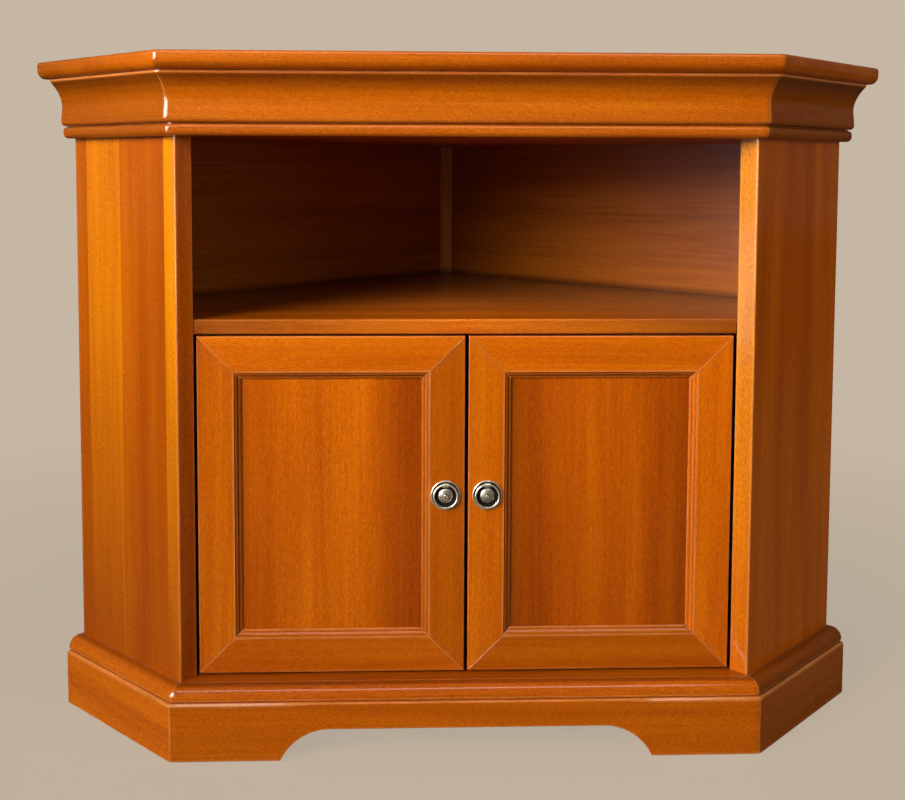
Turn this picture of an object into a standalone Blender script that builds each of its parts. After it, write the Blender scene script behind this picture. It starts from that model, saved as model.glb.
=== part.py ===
"""Corner cabinet for a television, in cherry: an open niche over a cupboard with two framed doors.

Seen from above, the front runs along X and both sides turn back at 45 degrees, square to the two
room walls that meet behind the cabinet. Every moulding is placed by q, its offset outwards from
the carcass outline. Lengths are metres, +Z is up, and the doors face -Y. The origin is the centre
of the footprint, on the floor.
"""

import math

import bmesh
import bpy
from mathutils import Vector

# Overall sizes of the carcass
HEIGHT = 0.800
FRONT_WIDTH = 0.658  # between the outer front corners of the side panels
SIDE_DEPTH = 0.211  # of a side panel, from its front corner to the wall
JOINT = 0.0003  # left between faces that touch

# Boards
PANEL_THICKNESS = 0.023
BACK_THICKNESS = 0.006
BACK_REBATE = 0.010  # width of the rebate that takes a back panel
POST_FACE = 0.0177  # of the post between the back panels
ARRIS = 0.001  # rounding on the exposed edges of boards
SHELF_THICKNESS = 0.017
SHELF_TOP = 0.501
CEILING_THICKNESS = 0.016
RAIL_THICKNESS = 0.018
BOTTOM_THICKNESS = 0.016
INNER_SHELF_THICKNESS = 0.015
INNER_SHELF_TOP = 0.290
INNER_SHELF_SETBACK = 0.025  # from the back of the doors
SHELF_PLAY = 0.0006  # around a shelf that slides in

# Top and cornice
TOP_THICKNESS = 0.020
TOP_OVERHANG = 0.050
TOP_SIDE_OVERHANG = 0.044
TOP_TO_WALL = 0.009  # how far the top reaches past the carcass, towards the walls
TOP_CORNER_ROUND = 0.006  # of the front corners, in plan
TOP_UPPER_ROUND = 0.0025
TOP_LOWER_ROUND = 0.011
TOP_LOWER_REACH = 0.0095  # how far the lower round runs in under the top
COVE_HEIGHT = 0.056
COVE_TOP_OFFSET = 0.0330
COVE_WAIST_OFFSET = 0.0172
COVE_FOOT_OFFSET = 0.0187
COVE_FOOT_ROUND = 0.005
COVE_WAIST_SHARE = 0.42  # height of the waist, as a share of the cove
COVE_FILLET = 0.002
GROOVE_HEIGHT = 0.003
GROOVE_OFFSET = 0.011
BEAD_HEIGHT = 0.012
BEAD_OFFSET = 0.0160
BEAD_UPPER_ROUND = 0.0025
BEAD_LOWER_ROUND = 0.004

# Base
PLINTH_HEIGHT = 0.0675
PLINTH_THICKNESS = 0.022
PLINTH_OFFSET = 0.0235
PLINTH_CHAMFER = 0.0022
ARCH_HEIGHT = 0.0363
ARCH_HALF_FLAT = 0.1567
ARCH_RADIUS = 0.062
BASE_MOULDING_OFFSET = 0.0205
BASE_MOULDING_LEDGE = 0.003
QUIRK_HEIGHT = 0.0015
QUIRK_DEPTH = 0.002
FILLET_HEIGHT = 0.002
CLEAT_SIZE = 0.020
FOOT_SIZE = 0.060

# Doors
DOOR_THICKNESS = 0.020
DOOR_SETBACK = 0.0005
DOOR_GAP = 0.0025
MEETING_GAP = 0.004
FRAME_WIDTH = 0.050
STICKING_WIDTH = 0.0078  # of the moulded inner edge, which steps down in two rounds
STICKING_STEP = 0.0009  # drop in front of the first round
STICKING_LEDGE = 0.0005  # width and drop between the rounds
STICKING_LIP = 0.0006  # upright edge against the panel
PANEL_RECESS = 0.0062
DOOR_PANEL_THICKNESS = 0.008
GROOVE_DEPTH = 0.008
PANEL_PLAY = 0.0009
PIVOT_INSET = 0.014  # from the door's outer edge to its axis
PIN_RADIUS = 0.0025
PIN_IN_BOARD = 0.008
PIN_IN_BUSH = 0.0065
BUSH_RADIUS = 0.0045
BUSH_DEPTH = 0.008
BUSH_FLANGE_RADIUS = 0.006
RUNNING_GAP = 0.0003

# Catches
CATCH_WIDTH = 0.044
CATCH_DEPTH = 0.013
CATCH_HEIGHT = 0.012
CATCH_POLE = 0.003
STRIKE_WIDTH = 0.036
STRIKE_HEIGHT = 0.008
STRIKE_THICKNESS = 0.0012

# Ring pulls
PULL_INSET = 0.0223  # from the door's meeting edge
PULL_HEIGHT = 0.2955
ROSETTE_RADIUS = 0.0176
ROSETTE_RIM = 0.0024
ROSETTE_EDGE = 0.0013
ROSETTE_RECESS = 0.0014
ROSETTE_RECESS_RADIUS = 0.0150
DOME_RADIUS = 0.0086
DOME_HEIGHT = 0.0056
DOME_STEP_WIDTH = 0.0010
DOME_STEP_HEIGHT = 0.0008
DOME_STEP_SLOPE = 0.0004
BUTTON_RADIUS = 0.0031
BUTTON_HEIGHT = 0.0066
BUTTON_CHAMFER = 0.0005
RING_RADIUS = 0.0137
RING_WIRE = 0.0012
RING_STANDOFF = 0.0034
RING_SAG = 0.0009  # of the hanging ring's centre, under the rosette's
LUG_HALF_WIDTH = 0.0035
LUG_RADIUS = 0.0024
LUG_ROOT = 0.0007  # height in the plate where the lug starts
SCREW_RADIUS = 0.0020
SCREW_HEAD_RADIUS = 0.0040
SCREW_HEAD_HEIGHT = 0.0022
SCREW_HEAD_CHAMFER = 0.0009
SCREW_IN_ROSETTE = 0.0040

# Shelf pins
SHELF_PIN_RADIUS = 0.0025
SHELF_PIN_IN = 0.009
SHELF_PIN_OUT = 0.008
SHELF_PIN_FRONT = 0.050  # from a side panel's front edge
SHELF_PIN_REAR = 0.047  # from its rear edge
PIN_HOLE_PITCH = 0.032
HOLE_PHASE = 0.12  # radians, from one hole's facets to the next hole's

# Worked out from the sizes above
S = math.sqrt(0.5)
TAN_HALF = math.tan(math.radians(22.5))
HALF_FRONT = FRONT_WIDTH / 2
REAR_SUM = HALF_FRONT + SIDE_DEPTH / S  # x + depth of every point on the carcass's rear line
FRONT_Y = -(REAR_SUM + TOP_TO_WALL / S - TOP_OVERHANG) / 2
MITRE = JOINT / 2 / math.cos(math.radians(22.5))  # taken off each end of a mitred moulding

SLAB_BOTTOM = HEIGHT - TOP_THICKNESS
COVE_BOTTOM = SLAB_BOTTOM - COVE_HEIGHT
BEAD_TOP = COVE_BOTTOM - GROOVE_HEIGHT
BEAD_BOTTOM = BEAD_TOP - BEAD_HEIGHT
RAIL_BOTTOM = BEAD_BOTTOM + JOINT
FLOOR_TOP = PLINTH_HEIGHT + BOTTOM_THICKNESS  # of the cupboard
SHELF_BOTTOM = SHELF_TOP - SHELF_THICKNESS
INNER_SHELF_BOTTOM = INNER_SHELF_TOP - INNER_SHELF_THICKNESS

INNER_DEPTH = PANEL_THICKNESS * S  # from the carcass front to the inner corner of a side panel
INNER_X = HALF_FRONT - INNER_DEPTH
BACK_SUM = REAR_SUM - BACK_THICKNESS / S
POST_DEPTH = BACK_SUM - POST_FACE / 2
POST_SIDE = POST_FACE * S + BACK_THICKNESS

DOOR_FRONT = INNER_DEPTH + DOOR_SETBACK
DOOR_BACK = DOOR_FRONT + DOOR_THICKNESS
DOOR_OUTER = INNER_X - DOOR_GAP
DOOR_INNER = MEETING_GAP / 2
DOOR_BOTTOM = FLOOR_TOP + DOOR_GAP
DOOR_TOP = SHELF_BOTTOM - DOOR_GAP
AXIS_X = DOOR_OUTER - PIVOT_INSET
AXIS_DEPTH = DOOR_FRONT + DOOR_THICKNESS / 2
PULL_X = DOOR_INNER + PULL_INSET
RING_HEIGHT = PULL_HEIGHT - RING_SAG
RING_CHORD = LUG_HALF_WIDTH + 0.0005  # half the straight length that runs through the lug
LUG_DROP = math.sqrt(RING_RADIUS**2 - RING_CHORD**2)  # from the lug's bore to the ring's centre


def clear_scene():
    for obj in list(bpy.data.objects):
        bpy.data.objects.remove(obj, do_unlink=True)


def finish(name, color, roughness, metallic=0.0):
    """A plain Principled material."""
    material = bpy.data.materials.new(name)
    material.use_nodes = True
    shader = material.node_tree.nodes["Principled BSDF"]
    shader.inputs["Base Color"].default_value = (*color, 1.0)
    shader.inputs["Roughness"].default_value = roughness
    shader.inputs["Metallic"].default_value = metallic
    return material


def add_piece(name, vertices, faces, material, origin=(0.0, 0.0, 0.0), parent=None, turn=None):
    """Makes one object from world points, with its origin moved to `origin`.

    With a turn about Z, the points are already in the frame turned by it at the origin.
    """
    origin = Vector(origin)
    if turn is None:
        vertices = [Vector(v) - origin for v in vertices]
    mesh = bpy.data.meshes.new(name)
    mesh.from_pydata(vertices, [], faces)
    work = bmesh.new()
    work.from_mesh(mesh)
    bmesh.ops.recalc_face_normals(work, faces=work.faces)
    work.to_mesh(mesh)
    work.free()
    mesh.shade_smooth()
    mesh.set_sharp_from_angle(angle=math.radians(32))
    mesh.materials.append(material)
    obj = bpy.data.objects.new(name, mesh)
    bpy.context.scene.collection.objects.link(obj)
    if parent is not None:
        obj.parent = parent
        origin = origin - parent.location
    obj.location = origin
    obj.rotation_euler.z = turn or 0.0
    return obj


def add_axis(name, location):
    """An empty on a joint's axis, which carries the pieces that move about it."""
    axis = bpy.data.objects.new(name, None)
    axis.location = location
    axis.empty_display_size = 0.03
    bpy.context.scene.collection.objects.link(axis)
    return axis


def loft(name, loops, material, **place):
    """Closes a solid through loops that have the same number of points."""
    count = len(loops[0])
    vertices = [point for loop in loops for point in loop]
    faces = [tuple(range(count))]
    faces.append(tuple(range((len(loops) - 1) * count, len(loops) * count)))
    for level in range(len(loops) - 1):
        base = level * count
        for i in range(count):
            j = (i + 1) % count
            faces.append((base + i, base + j, base + count + j, base + count + i))
    return add_piece(name, vertices, faces, material, **place)


def turned(name, profile, centre, axis, material, segments=32, phase=0.0, **place):
    """Revolves (radius, height) points about an axis; a radius of 0 closes the solid there."""
    axis = Vector(axis).normalized()
    across = axis.orthogonal().normalized()
    third = axis.cross(across)
    centre = Vector(centre)
    closed = profile[0][0] > 0
    vertices, rows = [], []
    for radius, height in profile:
        start = len(vertices)
        if radius == 0:
            vertices.append(centre + axis * height)
            rows.append([start] * segments)
            continue
        for k in range(segments):
            turn = phase + 2 * math.pi * k / segments
            spoke = across * math.cos(turn) + third * math.sin(turn)
            vertices.append(centre + axis * height + spoke * radius)
        rows.append(list(range(start, start + segments)))
    pairs = list(zip(rows, rows[1:]))
    if closed:
        pairs.append((rows[-1], rows[0]))
    faces = []
    for low, high in pairs:
        for k in range(segments):
            n = (k + 1) % segments
            face = list(dict.fromkeys((low[k], low[n], high[n], high[k])))
            faces.append(tuple(face))
    return add_piece(name, vertices, faces, material, **place)


def rod(name, start, end, radius, material, segments=20, phase=0.0, **place):
    """A plain round bar from one point to another."""
    start, end = Vector(start), Vector(end)
    length = (end - start).length
    profile = [(0, 0), (radius, 0), (radius, length), (0, length)]
    return turned(name, profile, start, end - start, material, segments, phase, **place)


def cutter(obj):
    """Marks an object as a tool that only cuts."""
    obj.hide_render = True
    obj.display_type = "WIRE"
    return obj


def cut(target, tool, operation="DIFFERENCE"):
    modifier = target.modifiers.new(tool.name, "BOOLEAN")
    modifier.operation = operation
    modifier.solver = "EXACT"
    modifier.object = cutter(tool)


def keep_flats_flat():
    """Shades each smooth edge by the larger face beside it, so that boards look flat."""
    for obj in bpy.context.scene.objects:
        if obj.type == "MESH" and not obj.hide_render:
            obj.modifiers.new("flat shading", "WEIGHTED_NORMAL").keep_sharp = True


def arc(centre, radius, start, end, steps):
    """Points on a circle or an ellipse, from one angle to another, in degrees."""
    wide, high = radius if isinstance(radius, tuple) else (radius, radius)
    turns = [math.radians(start + (end - start) * i / steps) for i in range(steps + 1)]
    return [(centre[0] + wide * math.cos(t), centre[1] + high * math.sin(t)) for t in turns]


def at(x, depth, z):
    """World point from x, the depth behind the carcass front, and the height."""
    return (x, FRONT_Y + depth, z)


def crossing(total, difference):
    """Plan point (x, depth) where x + depth = total meets x - depth = difference."""
    return (total + difference) / 2, (total - difference) / 2


def front_corner(q):
    """Where the front and side lines offset outwards by q meet, on the right."""
    return HALF_FRONT + q * TAN_HALF, -q


def rear_corner(q):
    """Where a side line offset by q meets the rear line."""
    return crossing(REAR_SUM, HALF_FRONT + q / S)


def side_point(run, q):
    """Point at a distance along the right side panel, offset outwards by q."""
    return HALF_FRONT + (run + q) * S, (run - q) * S


def wall_point(along, inside):
    """Point at a distance along the right rear line from the room corner, and inside it."""
    return (along - inside) * S, REAR_SUM - (along + inside) * S


def symmetric(right):
    """Full outline from its right half, listed from front to back."""
    left = [(-x, depth) for x, depth in reversed(right) if abs(x) > 1e-9]
    return right + left


def plate(name, outline, low, high, material, **place):
    """A flat board with an (x, depth) outline."""
    loops = [[at(x, depth, z) for x, depth in outline] for z in (low, high)]
    return loft(name, loops, material, **place)


def for_side(side, outline):
    """Mirrors an outline to the left when side is -1."""
    return [(side * x, depth) for x, depth in outline]


def side_name(side):
    return "right" if side > 0 else "left"


def fitted_outline(front, play):
    """Outline of a board held between the side panels, the back panels and the corner post."""
    difference = HALF_FRONT - (PANEL_THICKNESS + play) / S
    total = BACK_SUM - play / S
    rear = POST_DEPTH - play
    return symmetric([(front + difference, front), crossing(total, difference), (total - rear, rear)])


def front_moulding(name, profile, material):
    """Carries a (q, z) profile along the front, mitred at both ends."""
    loops = []
    for side in (-1, 1):
        ends = [front_corner(q) for q, _ in profile]
        loops.append([at(side * (x - MITRE), d, z) for (x, d), (_, z) in zip(ends, profile)])
    return loft(name, loops, material)


def side_moulding(name, side, profile, material):
    """Carries a (q, z) profile along one side, from the mitre to the wall."""
    front, rear = [], []
    for q, z in profile:
        x, depth = front_corner(q)
        front.append(at(side * (x + MITRE * S), depth + MITRE * S, z))
        x, depth = rear_corner(q)
        rear.append(at(side * x, depth, z))
    return loft(name, [front, rear], material)


def mouldings(name, profile, material):
    """Three mitred lengths of one moulding."""
    front_moulding(name + "_front", profile, material)
    for side in (-1, 1):
        side_moulding(f"{name}_{side_name(side)}", side, profile, material)


def top_outline(inset):
    """Outline of the top, drawn in by an inset, with its two front corners rounded in plan."""
    front, side = TOP_OVERHANG - inset, TOP_SIDE_OVERHANG - inset
    centre_q, centre_side = front - TOP_CORNER_ROUND, side - TOP_CORNER_ROUND
    centre = (HALF_FRONT + centre_side / S - centre_q, -centre_q)
    corner = arc(centre, TOP_CORNER_ROUND, -90, -45, 4)
    total = REAR_SUM + TOP_TO_WALL / S
    return symmetric(corner + [crossing(total, HALF_FRONT + side / S), (0.0, total)])


def make_top(material):
    """Top slab: a small round above, a large one below, square against the walls."""
    upper = arc((0, 0), TOP_UPPER_ROUND, 90, 0, 4)
    lower = arc((0, 0), (TOP_LOWER_REACH, TOP_LOWER_ROUND), 0, -90, 7)
    edge = [(TOP_UPPER_ROUND - q, HEIGHT - TOP_UPPER_ROUND + z) for q, z in upper]
    edge += [(TOP_LOWER_REACH - q, SLAB_BOTTOM + TOP_LOWER_ROUND + z) for q, z in lower]
    loops = []
    for inset, z in edge:
        loops.append([at(x, depth, z) for x, depth in top_outline(inset)])
    loft("top_slab", loops, material)


def cove_profile():
    """Bulging foot, waist, then a cove that opens as the square of the height, and a fillet."""
    foot = COVE_BOTTOM + COVE_FOOT_ROUND
    waist = COVE_BOTTOM + COVE_HEIGHT * COVE_WAIST_SHARE
    top = SLAB_BOTTOM - JOINT - COVE_FILLET
    centre = (COVE_FOOT_OFFSET - COVE_FOOT_ROUND, foot)
    points = [(JOINT, COVE_BOTTOM)] + arc(centre, COVE_FOOT_ROUND, -90, 0, 5)
    for i in range(1, 5):
        ease = (1 - math.cos(math.pi * i / 4)) / 2
        q = COVE_FOOT_OFFSET + (COVE_WAIST_OFFSET - COVE_FOOT_OFFSET) * ease
        points.append((q, foot + (waist - foot) * i / 4))
    for i in range(1, 9):
        share = i / 8
        q = COVE_WAIST_OFFSET + (COVE_TOP_OFFSET - COVE_WAIST_OFFSET) * share**2
        points.append((q, waist + (top - waist) * share))
    return points + [(COVE_TOP_OFFSET, SLAB_BOTTOM - JOINT), (JOINT, SLAB_BOTTOM - JOINT)]


def bead_profile():
    """Rounded bead with the wall of the groove above it."""
    low = (BEAD_OFFSET - BEAD_LOWER_ROUND, BEAD_BOTTOM + BEAD_LOWER_ROUND)
    high = (BEAD_OFFSET - BEAD_UPPER_ROUND, BEAD_TOP - BEAD_UPPER_ROUND)
    points = [(JOINT, BEAD_BOTTOM)]
    points += arc(low, BEAD_LOWER_ROUND, -90, 0, 5)
    points += arc(high, BEAD_UPPER_ROUND, 0, 90, 4)
    points += [(GROOVE_OFFSET, BEAD_TOP), (GROOVE_OFFSET, COVE_BOTTOM - JOINT)]
    return points + [(JOINT, COVE_BOTTOM - JOINT)]


def base_profile():
    """Quirk, fillet and ovolo, level with the cupboard's floor at the top."""
    low = PLINTH_HEIGHT
    fillet = low + QUIRK_HEIGHT + FILLET_HEIGHT
    reach = BASE_MOULDING_OFFSET - BASE_MOULDING_LEDGE
    points = [(JOINT, low), (BASE_MOULDING_OFFSET - QUIRK_DEPTH, low)]
    points.append((BASE_MOULDING_OFFSET - QUIRK_DEPTH, low + QUIRK_HEIGHT))
    points.append((BASE_MOULDING_OFFSET, low + QUIRK_HEIGHT))
    points += arc((BASE_MOULDING_LEDGE, fillet), (reach, FLOOR_TOP - fillet), 0, 90, 8)
    return points + [(JOINT, FLOOR_TOP)]


def plinth_top():
    return PLINTH_HEIGHT - JOINT


def plinth_profile():
    inner = PLINTH_OFFSET - PLINTH_THICKNESS
    points = [(inner, 0.0), (PLINTH_OFFSET, 0.0)]
    points.append((PLINTH_OFFSET, plinth_top() - PLINTH_CHAMFER))
    return points + [(PLINTH_OFFSET - PLINTH_CHAMFER, plinth_top()), (inner, plinth_top())]


def arch_outline(half_width, top):
    """Elevation of the front plinth board: two feet joined by a flat arch on round shoulders."""
    centre_z = ARCH_HEIGHT - ARCH_RADIUS
    foot = math.degrees(math.asin(-centre_z / ARCH_RADIUS))
    right = arc((ARCH_HALF_FLAT, centre_z), ARCH_RADIUS, foot, 90, 10)
    left = [(-x, z) for x, z in reversed(right)]
    return [(half_width, 0.0)] + right + left + [(-half_width, 0.0), (-half_width, top), (half_width, top)]


def make_front_plinth(material):
    """Front plinth board, mitred at its ends, with a chamfered upper arris."""
    inner = PLINTH_OFFSET - PLINTH_THICKNESS
    sections = [(inner, plinth_top()), (PLINTH_OFFSET - PLINTH_CHAMFER, plinth_top())]
    sections.append((PLINTH_OFFSET, plinth_top() - PLINTH_CHAMFER))
    loops = []
    for q, top in sections:
        x, depth = front_corner(q)
        loops.append([at(px, depth, z) for px, z in arch_outline(x - MITRE, top)])
    loft("plinth_front", loops, material)


def make_base(material, hidden):
    make_front_plinth(material)
    for side in (-1, 1):
        side_moulding(f"plinth_{side_name(side)}", side, plinth_profile(), material)
    mouldings("base_moulding", base_profile(), material)
    floor = symmetric([front_corner(0.0), rear_corner(0.0), (0.0, REAR_SUM)])
    board = plate("bottom_board", floor, PLINTH_HEIGHT, FLOOR_TOP, material)
    make_cleats(hidden)
    corner = [wall_point(FOOT_SIZE, 0), (0.0, REAR_SUM)]
    foot = [(0.0, REAR_SUM - FOOT_SIZE / S)] + corner + [(-corner[0][0], corner[0][1])]
    plate("rear_foot", foot, 0.0, plinth_top(), hidden)
    return board


def make_cleats(material):
    """Battens glued inside the plinth, which carry the bottom board."""
    outer = PLINTH_OFFSET - PLINTH_THICKNESS - JOINT
    low, high = plinth_top() - CLEAT_SIZE, plinth_top()
    inner = outer - CLEAT_SIZE
    end = HALF_FRONT + inner * TAN_HALF - CLEAT_SIZE
    front = [(-end, -outer), (end, -outer), (end, -inner), (-end, -inner)]
    plate("plinth_cleat_front", front, low, high, material)
    for side in (-1, 1):
        run = [(CLEAT_SIZE, outer), (SIDE_DEPTH, outer), (SIDE_DEPTH, inner), (CLEAT_SIZE, inner)]
        outline = [side_point(*corner) for corner in run]
        plate(f"plinth_cleat_{side_name(side)}", for_side(side, outline), low, high, material)


def make_side_panel(side, material):
    """Canted board, square-cut in front and rebated for the back panel, in its own frame: X runs back."""
    rebate_run = SIDE_DEPTH - BACK_THICKNESS - JOINT
    rebate_q = BACK_REBATE - PANEL_THICKNESS
    corners = arc((ARRIS, -PANEL_THICKNESS + ARRIS), ARRIS, 270, 180, 3)
    corners += arc((ARRIS, -ARRIS), ARRIS, 180, 90, 3)
    corners += [(SIDE_DEPTH, 0.0), (SIDE_DEPTH, rebate_q), (rebate_run, rebate_q)]
    corners.append((rebate_run, -PANEL_THICKNESS))
    levels = (FLOOR_TOP + JOINT, SLAB_BOTTOM - JOINT)
    loops = [[(run, -side * q, z) for run, q in corners] for z in levels]
    turn = math.radians(45 if side > 0 else 135)
    place = {"origin": at(side * HALF_FRONT, 0.0, 0.0), "turn": turn}
    return loft(f"side_panel_{side_name(side)}", loops, material, **place)


def make_back_panel(side, material):
    end_q = BACK_REBATE - PANEL_THICKNESS - JOINT
    outline = [side_point(SIDE_DEPTH - BACK_THICKNESS, end_q), side_point(SIDE_DEPTH, end_q)]
    outline += [wall_point(POST_SIDE + JOINT, 0.0), wall_point(POST_SIDE + JOINT, BACK_THICKNESS)]
    name = f"back_panel_{side_name(side)}"
    plate(name, for_side(side, outline), FLOOR_TOP + JOINT, SLAB_BOTTOM - JOINT, material)


def make_post(material):
    right = [(POST_FACE / 2, POST_DEPTH), wall_point(POST_SIDE, 0.0), (0.0, REAR_SUM)]
    return plate("corner_post", symmetric(right), FLOOR_TOP + JOINT, SLAB_BOTTOM - JOINT, material)


def make_shelf(name, front, play, low, high, material):
    """A fitted board whose front edge is eased above and below."""
    loops = []
    for back, z in [(ARRIS, low), (0.0, low + ARRIS), (0.0, high - ARRIS), (ARRIS, high)]:
        outline = fitted_outline(front, play)
        outline = [(x, d + back if abs(d - front) < 1e-9 else d) for x, d in outline]
        loops.append([at(x, depth, z) for x, depth in outline])
    return loft(name, loops, material)


def make_head(material, hidden):
    """Rail behind the cornice, and the ceiling of the niche."""
    half = INNER_X - JOINT
    rail = [(-half, 0.0), (half, 0.0), (half, RAIL_THICKNESS), (-half, RAIL_THICKNESS)]
    plate("top_rail", rail, RAIL_BOTTOM, SLAB_BOTTOM - JOINT, material)
    ceiling = fitted_outline(RAIL_THICKNESS + JOINT, JOINT)
    plate("niche_ceiling", ceiling, RAIL_BOTTOM, RAIL_BOTTOM + CEILING_THICKNESS, hidden)


def sticking_profile():
    """Door frame section as (inwards from the outer edge, back from the front face)."""
    flat = FRAME_WIDTH - STICKING_WIDTH
    lip = PANEL_RECESS
    wide = (STICKING_WIDTH - STICKING_LEDGE) / 2
    deep = (lip - STICKING_STEP - STICKING_LEDGE - STICKING_LIP) / 2
    points = arc((ARRIS, ARRIS), ARRIS, 180, 270, 3)
    points += [(flat, 0.0)]
    points += arc((flat, STICKING_STEP + deep), (wide, deep), -90, 0, 4)
    second = (flat + wide + STICKING_LEDGE, lip - STICKING_LIP)
    points += arc(second, (wide, deep), -90, 0, 4)
    points += [(FRAME_WIDTH, lip), (FRAME_WIDTH - GROOVE_DEPTH, lip)]
    rear_lip = lip + DOOR_PANEL_THICKNESS + 2 * JOINT
    points += [(FRAME_WIDTH - GROOVE_DEPTH, rear_lip), (FRAME_WIDTH, rear_lip)]
    return points + [(FRAME_WIDTH, DOOR_THICKNESS), (0.0, DOOR_THICKNESS)]


def frame_member(name, start, end, inwards, material, **place):
    """One mitred length of door frame between two outer corners, given as (x, z)."""
    run = Vector(end) - Vector(start)
    length = run.length
    run = run / length
    inwards = Vector(inwards)
    shift = JOINT * S
    loops = []
    for base, step in ((Vector(start), run), (Vector(end), -run)):
        loop = []
        for u, v in sticking_profile():
            x, z = base + step * (u + shift) + inwards * u
            loop.append(at(x, DOOR_FRONT + v, z))
        loops.append(loop)
    return loft(name, loops, material, **place)


def make_door_frame(side, material, place):
    name = side_name(side)
    outer, inner = side * DOOR_OUTER, side * DOOR_INNER
    members = {
        "stile_outer": ((outer, DOOR_BOTTOM), (outer, DOOR_TOP), (-side, 0)),
        "stile_inner": ((inner, DOOR_BOTTOM), (inner, DOOR_TOP), (side, 0)),
        "rail_top": ((outer, DOOR_TOP), (inner, DOOR_TOP), (0, -1)),
        "rail_bottom": ((outer, DOOR_BOTTOM), (inner, DOOR_BOTTOM), (0, 1)),
    }
    made = {}
    for part, (start, end, inwards) in members.items():
        made[part] = frame_member(f"{name}_door_{part}", start, end, inwards, material, **place)
    return made


def make_door_panel(side, material, place):
    """Flat panel, loose in the grooves of the frame."""
    hold = FRAME_WIDTH - GROOVE_DEPTH + PANEL_PLAY
    near, far = DOOR_INNER + hold, DOOR_OUTER - hold
    front = DOOR_FRONT + PANEL_RECESS + JOINT
    back = front + DOOR_PANEL_THICKNESS
    outline = for_side(side, [(near, front), (far, front), (far, back), (near, back)])
    low, high = DOOR_BOTTOM + hold, DOOR_TOP - hold
    plate(f"{side_name(side)}_door_panel", outline, low, high, material, **place)


def make_bush(name, edge, up, side, material, place):
    """Flanged bush in a door's edge: the flange fills the gap to the board and carries the door."""
    bore = PIN_RADIUS + RUNNING_GAP
    flange = DOOR_GAP - JOINT
    profile = [(bore, -flange), (BUSH_FLANGE_RADIUS, -flange), (BUSH_FLANGE_RADIUS, -JOINT)]
    profile += [(BUSH_RADIUS, -JOINT), (BUSH_RADIUS, BUSH_DEPTH), (bore, BUSH_DEPTH)]
    centre = at(side * AXIS_X, AXIS_DEPTH, edge)
    turned(name, profile, centre, (0, 0, up), material, 24, **place)


def bore_hole(name, target, start, end, radius, segments=20, phase=0.0):
    """Cuts a round hole, from a point just outside the face to a point inside."""
    cut(target, rod(name, start, end, radius, target.data.materials[0], segments, phase))


def make_pivots(side, frame, boards, steel, brass, place):
    """Pins in the shelf and the bottom board, and bushes in the door's edges."""
    name = side_name(side)
    levels = (("top", DOOR_TOP, -1, SHELF_BOTTOM), ("bottom", DOOR_BOTTOM, 1, FLOOR_TOP))
    for part, edge, up, face in levels:
        make_bush(f"{name}_door_bush_{part}", edge, up, side, brass, place)
        inside = edge + up * PIN_IN_BUSH
        seat = face - up * PIN_IN_BOARD
        x = side * AXIS_X
        rod(f"{name}_door_pin_{part}", at(x, AXIS_DEPTH, seat), at(x, AXIS_DEPTH, inside), PIN_RADIUS, steel)
        deep = at(x, AXIS_DEPTH, seat - up * JOINT)
        mouth = at(x, AXIS_DEPTH, face + up * DOOR_GAP)
        bore_hole(f"cut_{name}_pin_{part}", boards[part], mouth, deep, PIN_RADIUS + JOINT)
        deep = at(x, AXIS_DEPTH, edge + up * (BUSH_DEPTH + JOINT))
        mouth = at(x, AXIS_DEPTH, edge - up * DOOR_GAP)
        bore_hole(f"cut_{name}_bush_{part}", frame[f"rail_{part}"], mouth, deep, BUSH_RADIUS + JOINT, 24)


def make_catch(side, plastic, steel, place):
    """Magnetic catch under the shelf, and the strike plate that it holds on the door."""
    name = side_name(side)
    centre = side * (DOOR_INNER + FRAME_WIDTH / 2)
    top = SHELF_BOTTOM - JOINT
    strike_back = DOOR_BACK + JOINT + STRIKE_THICKNESS
    front = strike_back + JOINT
    lip, half = CATCH_POLE / 2, CATCH_WIDTH / 2
    right = [(half - 2 * CATCH_POLE, front), (half - CATCH_POLE, front)]
    right += [(half - CATCH_POLE, front + lip), (half, front + lip), (half, front + CATCH_DEPTH)]
    left = [(-x, depth) for x, depth in reversed(right)]
    inner = [(-half + 2 * CATCH_POLE, front + lip), (half - 2 * CATCH_POLE, front + lip)]
    outline = [(centre + x, depth) for x, depth in right + left + inner]
    plate(f"{name}_catch", outline, top - CATCH_HEIGHT, top, plastic)
    high = DOOR_TOP - JOINT
    half = STRIKE_WIDTH / 2
    strike_front = DOOR_BACK + JOINT
    corners = [(-half, strike_front), (half, strike_front), (half, strike_back), (-half, strike_back)]
    outline = [(centre + x, depth) for x, depth in corners]
    plate(f"{name}_door_strike", outline, high - STRIKE_HEIGHT, high, steel, **place)


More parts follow.
